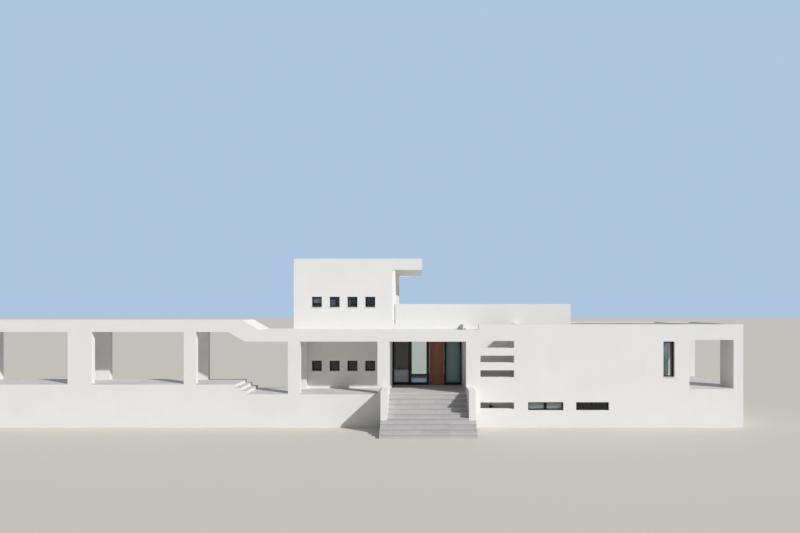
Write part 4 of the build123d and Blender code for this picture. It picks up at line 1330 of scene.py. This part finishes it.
class HOUSE_OT_downpipes(bpy.types.Operator):
    """Run the rain pipes down the hidden walls, from a hopper to a shoe"""

    bl_idname = "beach_house.downpipes"
    bl_label = "Rain pipes"

    def execute(self, context):
        metal = context.scene.beach_house.metal
        built = bmesh.new()
        built.faces.layers.float.new("block_tone")
        east = Vector((1.0, 0.0, 0.0))
        north = Vector((0.0, 1.0, 0.0))
        west = Vector((-1.0, 0.0, 0.0))
        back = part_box("living_back_wall")[1]
        hall_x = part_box("hall_east_wall")[1].x
        top_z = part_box("living_roof")[1].z - 0.35
        for x in (hall_x + 0.35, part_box("living_end_wall")[1].x - 0.2):
            self.add_pipe(built, Vector((x, back.y, top_z)), north)
        hall_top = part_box("hall_roof")[1].z - 0.15
        self.add_pipe(built, Vector((hall_x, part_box("hall_east_wall")[1].y - 0.6, hall_top)), east)
        tower_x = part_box("tower_west_wall")[0].x
        tower_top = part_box("tower_roof")[0].z - 0.1
        self.add_pipe(built, Vector((tower_x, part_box("tower_west_wall")[1].y - 0.6, tower_top)), west)
        material = coated_material("Pipe paint", metal.white, 0.4, 0.002, 0.0005, 0.05)
        add_piece("rain_pipes", built, material)
        return {"FINISHED"}

    def add_pipe(self, built, start, out):
        """One pipe: an outlet through the wall, a hopper, brackets, the pipe and its shoe."""
        aside = Vector((abs(out.y), abs(out.x), 0.0))
        centre = start + out * 0.075
        outlet = corner_box((start - aside * 0.06 + Vector((0, 0, 0.06)), start + aside * 0.06 + out * 0.09))
        round_edges(built, add_block(built, *outlet), 0.004)
        half = aside * 0.12 + Vector((abs(out.x), abs(out.y), 0.0)) * 0.068
        hopper = add_block(built, centre - half - Vector((0, 0, 0.24)), centre + half - Vector((0, 0, 0.01)))
        for corner in hopper:
            if corner.co.z < centre.z - 0.12:
                corner.co = centre.lerp(corner.co, 0.5) + Vector((0, 0, (corner.co.z - centre.z) * 0.5))
        round_edges(built, hopper, 0.006)
        foot = Vector((centre.x, centre.y, 0.2))
        add_tube(
            built,
            (centre - Vector((0, 0, 0.22)), foot, foot + out * 0.012 - Vector((0, 0, 0.04)),
             foot + out * 0.05 - Vector((0, 0, 0.085)), foot + out * 0.09 - Vector((0, 0, 0.11))),
            0.04, 24,
        )
        length = centre.z - 0.2 - foot.z
        stretches = round(length / BRACKET_PITCH)
        for i in range(max(2, stretches)):
            z = foot.z + 0.25 + i * (length - 0.5) / max(1, stretches - 1)
            ring = Vector((centre.x, centre.y, z))
            add_tube(built, (ring - Vector((0, 0, 0.015)), ring + Vector((0, 0, 0.015))), 0.045, 24)
            first = Vector((start.x, start.y, z - 0.012)) - aside * 0.012
            second = ring + aside * 0.012 + Vector((0, 0, 0.012)) - out * 0.03
            add_block(built, *corner_box((first, second)))


class HOUSE_OT_well_planter(bpy.types.Operator):
    """Build the planting bed in the light well, with its gravel and its shrub"""

    bl_idname = "beach_house.well_planter"
    bl_label = "Light well planter"

    def execute(self, context):
        planter = context.scene.beach_house.planter
        coat = bpy.data.materials["Well render with painted bounce"]
        low = place(2.40, 0.37, -1.584)
        high = place(4.23, 0.78, -0.36)
        wall = 0.05
        bed_z = high.z - planter.bed_drop
        walls = [
            (Vector((low.x, high.y - wall, low.z)), high),
            (low, Vector((high.x, low.y + wall, bed_z + 0.02))),
        ]
        add_piece("well_planter", laid_blocks(walls, 0.006, 59), coat)
        bed_low = Vector((low.x + 0.01, low.y + wall + 0.003, bed_z - 0.25))
        bed_high = Vector((high.x - 0.01, high.y - wall - 0.003, bed_z))
        gravel = block_stone_material("Gravel", planter.gravel, planter.pale_gravel, 0.9, 0.004, 0.0)
        add_piece("well_gravel", gravel_bed(bed_low, bed_high, planter), gravel)
        leaves = coated_material("Shrub leaf", planter.leaf, 0.55, 0.003, 0.0004, 0.35)
        shrub = shrub_leaves(place(3.0, 0.56, -0.82), planter)
        add_piece("well_shrub", shrub, leaves)
        return {"FINISHED"}


def gravel_bed(low, high, planter):
    """A bed with a layer of loose pebbles on it."""
    chance = random.Random(61)
    pebbles = [(low, Vector((high.x, high.y, high.z - 0.012)))]
    reach = planter.pebble
    for _ in range(planter.pebbles):
        size = reach * chance.uniform(0.6, 1.3)
        middle = Vector((
            chance.uniform(low.x + reach, high.x - reach), chance.uniform(low.y + reach, high.y - reach),
            high.z - 0.008,
        ))
        half = Vector((size, size * 0.75, size * 0.55))
        turn = Matrix.Rotation(chance.uniform(0.0, math.pi), 4, "Z")
        pebbles.append((middle - half, middle + half, turn))
    return laid_blocks(pebbles, reach * 0.35, 67)


def shrub_leaves(foot, planter):
    """Stems that spread from the foot, each with flat pointed leaves."""
    chance = random.Random(71)
    built = bmesh.new()
    for _ in range(planter.stems):
        around = chance.uniform(0.0, math.tau)
        spread = chance.uniform(0.02, 0.15)
        height = chance.uniform(0.12, 0.22)
        tip = foot + Vector((math.cos(around) * spread, math.sin(around) * spread * 0.6, height))
        add_tube(built, (foot, foot.lerp(tip, 0.5) + Vector((0.0, 0.0, 0.02)), tip), 0.003, 8)
        for _ in range(planter.leaves):
            root = foot.lerp(tip, chance.uniform(0.3, 1.0))
            aim = Vector((chance.uniform(-1, 1), chance.uniform(-0.8, 0.8), chance.uniform(0.0, 0.9)))
            add_leaf(built, root, aim.normalized(), planter.leaf_length * chance.uniform(0.7, 1.2))
    return built


def add_leaf(mesh_source, root, along, length):
    """Adds one closed leaf, thickest along its middle."""
    side = along.cross(Vector((0.0, 0.0, 1.0))).normalized() * length * 0.22
    lift = side.cross(along).normalized() * length * 0.05
    middle = root + along * length * 0.45
    ends = [mesh_source.verts.new(point) for point in (root, root + along * length)]
    rim = [mesh_source.verts.new(middle + offset) for offset in (side, lift, -side, -lift)]
    for i in range(4):
        j = (i + 1) % 4
        mesh_source.faces.new((ends[0], rim[i], rim[j]))
        mesh_source.faces.new((ends[1], rim[j], rim[i]))


class HOUSE_OT_stage(bpy.types.Operator):
    """Set the plain floor, the backdrop, the lamps and the camera"""

    bl_idname = "beach_house.stage"
    bl_label = "Stage"

    def execute(self, context):
        stage = context.scene.beach_house.stage
        add_floor(stage)
        add_backdrop(context.scene, stage)
        add_sun(stage)
        add_camera(context.scene, stage)
        context.scene.view_settings.view_transform = "Standard"
        return {"FINISHED"}


def add_floor(stage):
    """A plain level floor under the house."""
    ground = bmesh.new()
    bmesh.ops.create_grid(ground, x_segments=1, y_segments=1, size=stage.floor_size / 2)
    mesh = bpy.data.meshes.new("floor")
    ground.to_mesh(mesh)
    ground.free()
    finish = {"Roughness": 0.9, "Specular IOR Level": 0.2, "Base Color": opaque(stage.floor)}
    mesh.materials.append(new_material("Plain floor", finish)[0])
    floor = bpy.data.objects.new("floor", mesh)
    bpy.context.collection.objects.link(floor)


def add_backdrop(scene, stage):
    """Even fill light, with a plain pale colour where the world itself is seen."""
    world = bpy.data.worlds.new("Backdrop")
    scene.world = world
    world.use_nodes = True
    tree = world.node_tree
    tree.nodes.clear()
    output = add_node(tree, "ShaderNodeOutputWorld")
    fill = {"Color": opaque(stage.sky_colour), "Strength": stage.sky}
    light = add_node(tree, "ShaderNodeBackground", fill)
    seen = add_node(tree, "ShaderNodeBackground", {"Color": opaque(stage.backdrop), "Strength": 1.0})
    choose = add_node(tree, "ShaderNodeMixShader")
    rays = add_node(tree, "ShaderNodeLightPath")
    direct = add_node(tree, "ShaderNodeMath", operation="MAXIMUM")
    through = add_node(tree, "ShaderNodeMath", operation="MAXIMUM")
    join(
        tree,
        (rays, "Is Camera Ray", direct, 0),
        (rays, "Is Glossy Ray", direct, 1),
        (direct, 0, through, 0),
        (rays, "Is Transmission Ray", through, 1),
        (through, 0, choose, 0),
        (light, 0, choose, 1),
        (seen, 0, choose, 2),
        (choose, 0, output, "Surface"),
    )


def add_sun(stage):
    """Key light from the right, in front and above."""
    lamp = bpy.data.lights.new("key_light", "SUN")
    lamp.energy = stage.sun
    lamp.angle = stage.sun_angle
    sun = bpy.data.objects.new("key_light", lamp)
    sun.rotation_mode = "QUATERNION"
    sun.rotation_quaternion = Vector(stage.sun_towards).to_track_quat("Z", "Y")
    bpy.context.collection.objects.link(sun)


def add_camera(scene, stage):
    """Camera where the photograph was taken, level and square to the front."""
    lens = bpy.data.cameras.new("camera")
    lens.sensor_width = SENSOR_W
    lens.lens = FOCAL_LENGTH_PX * SENSOR_W / PHOTO_W
    lens.shift_x = (PHOTO_W / 2 - VANISHING_X) / PHOTO_W
    lens.shift_y = (HORIZON_Y - PHOTO_H / 2) / PHOTO_W
    lens.clip_end = 1000.0
    camera = bpy.data.objects.new("camera", lens)
    camera.location = place(stage.eye_aside, -stage.eye_back, stage.eye_height)
    camera.rotation_euler = (math.radians(90.0), 0.0, 0.0)
    bpy.context.collection.objects.link(camera)
    scene.camera = camera


STEPS = (
    HOUSE_OT_shader_groups,
    HOUSE_OT_stage,
    HOUSE_OT_render_coat,
    HOUSE_OT_stonework,
    HOUSE_OT_stair_stones,
    HOUSE_OT_cheek_ends,
    HOUSE_OT_floors,
    HOUSE_OT_roof_covering,
    HOUSE_OT_frames_and_glass,
    HOUSE_OT_shutters,
    HOUSE_OT_entrance_door,
    HOUSE_OT_hall_furniture,
    HOUSE_OT_lamps,
    HOUSE_OT_downpipes,
    HOUSE_OT_well_planter,
)


class HOUSE_PT_panel(bpy.types.Panel):
    """Lists the steps that finish the house"""

    bl_idname = "HOUSE_PT_panel"
    bl_label = "Beach House"
    bl_space_type = "VIEW_3D"
    bl_region_type = "UI"
    bl_category = "Beach House"

    def draw(self, context):
        for step in STEPS:
            self.layout.operator(step.bl_idname)


CLASSES = (
    RenderCoatSettings,
    StoneSettings,
    FloorSettings,
    RoofSettings,
    MetalSettings,
    GlassSettings,
    WoodSettings,
    BlindSettings,
    PlanterSettings,
    StageSettings,
    HouseSettings,
    *STEPS,
    HOUSE_PT_panel,
)


def register():
    for item in CLASSES:
        bpy.utils.register_class(item)
    bpy.types.Scene.beach_house = PointerProperty(type=HouseSettings)


def unregister():
    del bpy.types.Scene.beach_house
    for item in reversed(CLASSES):
        bpy.utils.unregister_class(item)


def main():
    register()
    bpy.ops.beach_house.shader_groups()
    bpy.ops.beach_house.stage()
    bpy.ops.beach_house.render_coat()
    bpy.ops.beach_house.stonework()
    bpy.ops.beach_house.stair_stones()
    bpy.ops.beach_house.cheek_ends()
    bpy.ops.beach_house.floors()
    bpy.ops.beach_house.roof_covering()
    bpy.ops.beach_house.frames_and_glass()
    bpy.ops.beach_house.shutters()
    bpy.ops.beach_house.entrance_door()
    bpy.ops.beach_house.hall_furniture()
    bpy.ops.beach_house.lamps()
    bpy.ops.beach_house.downpipes()
    bpy.ops.beach_house.well_planter()


if __name__ == "__main__":
    main()
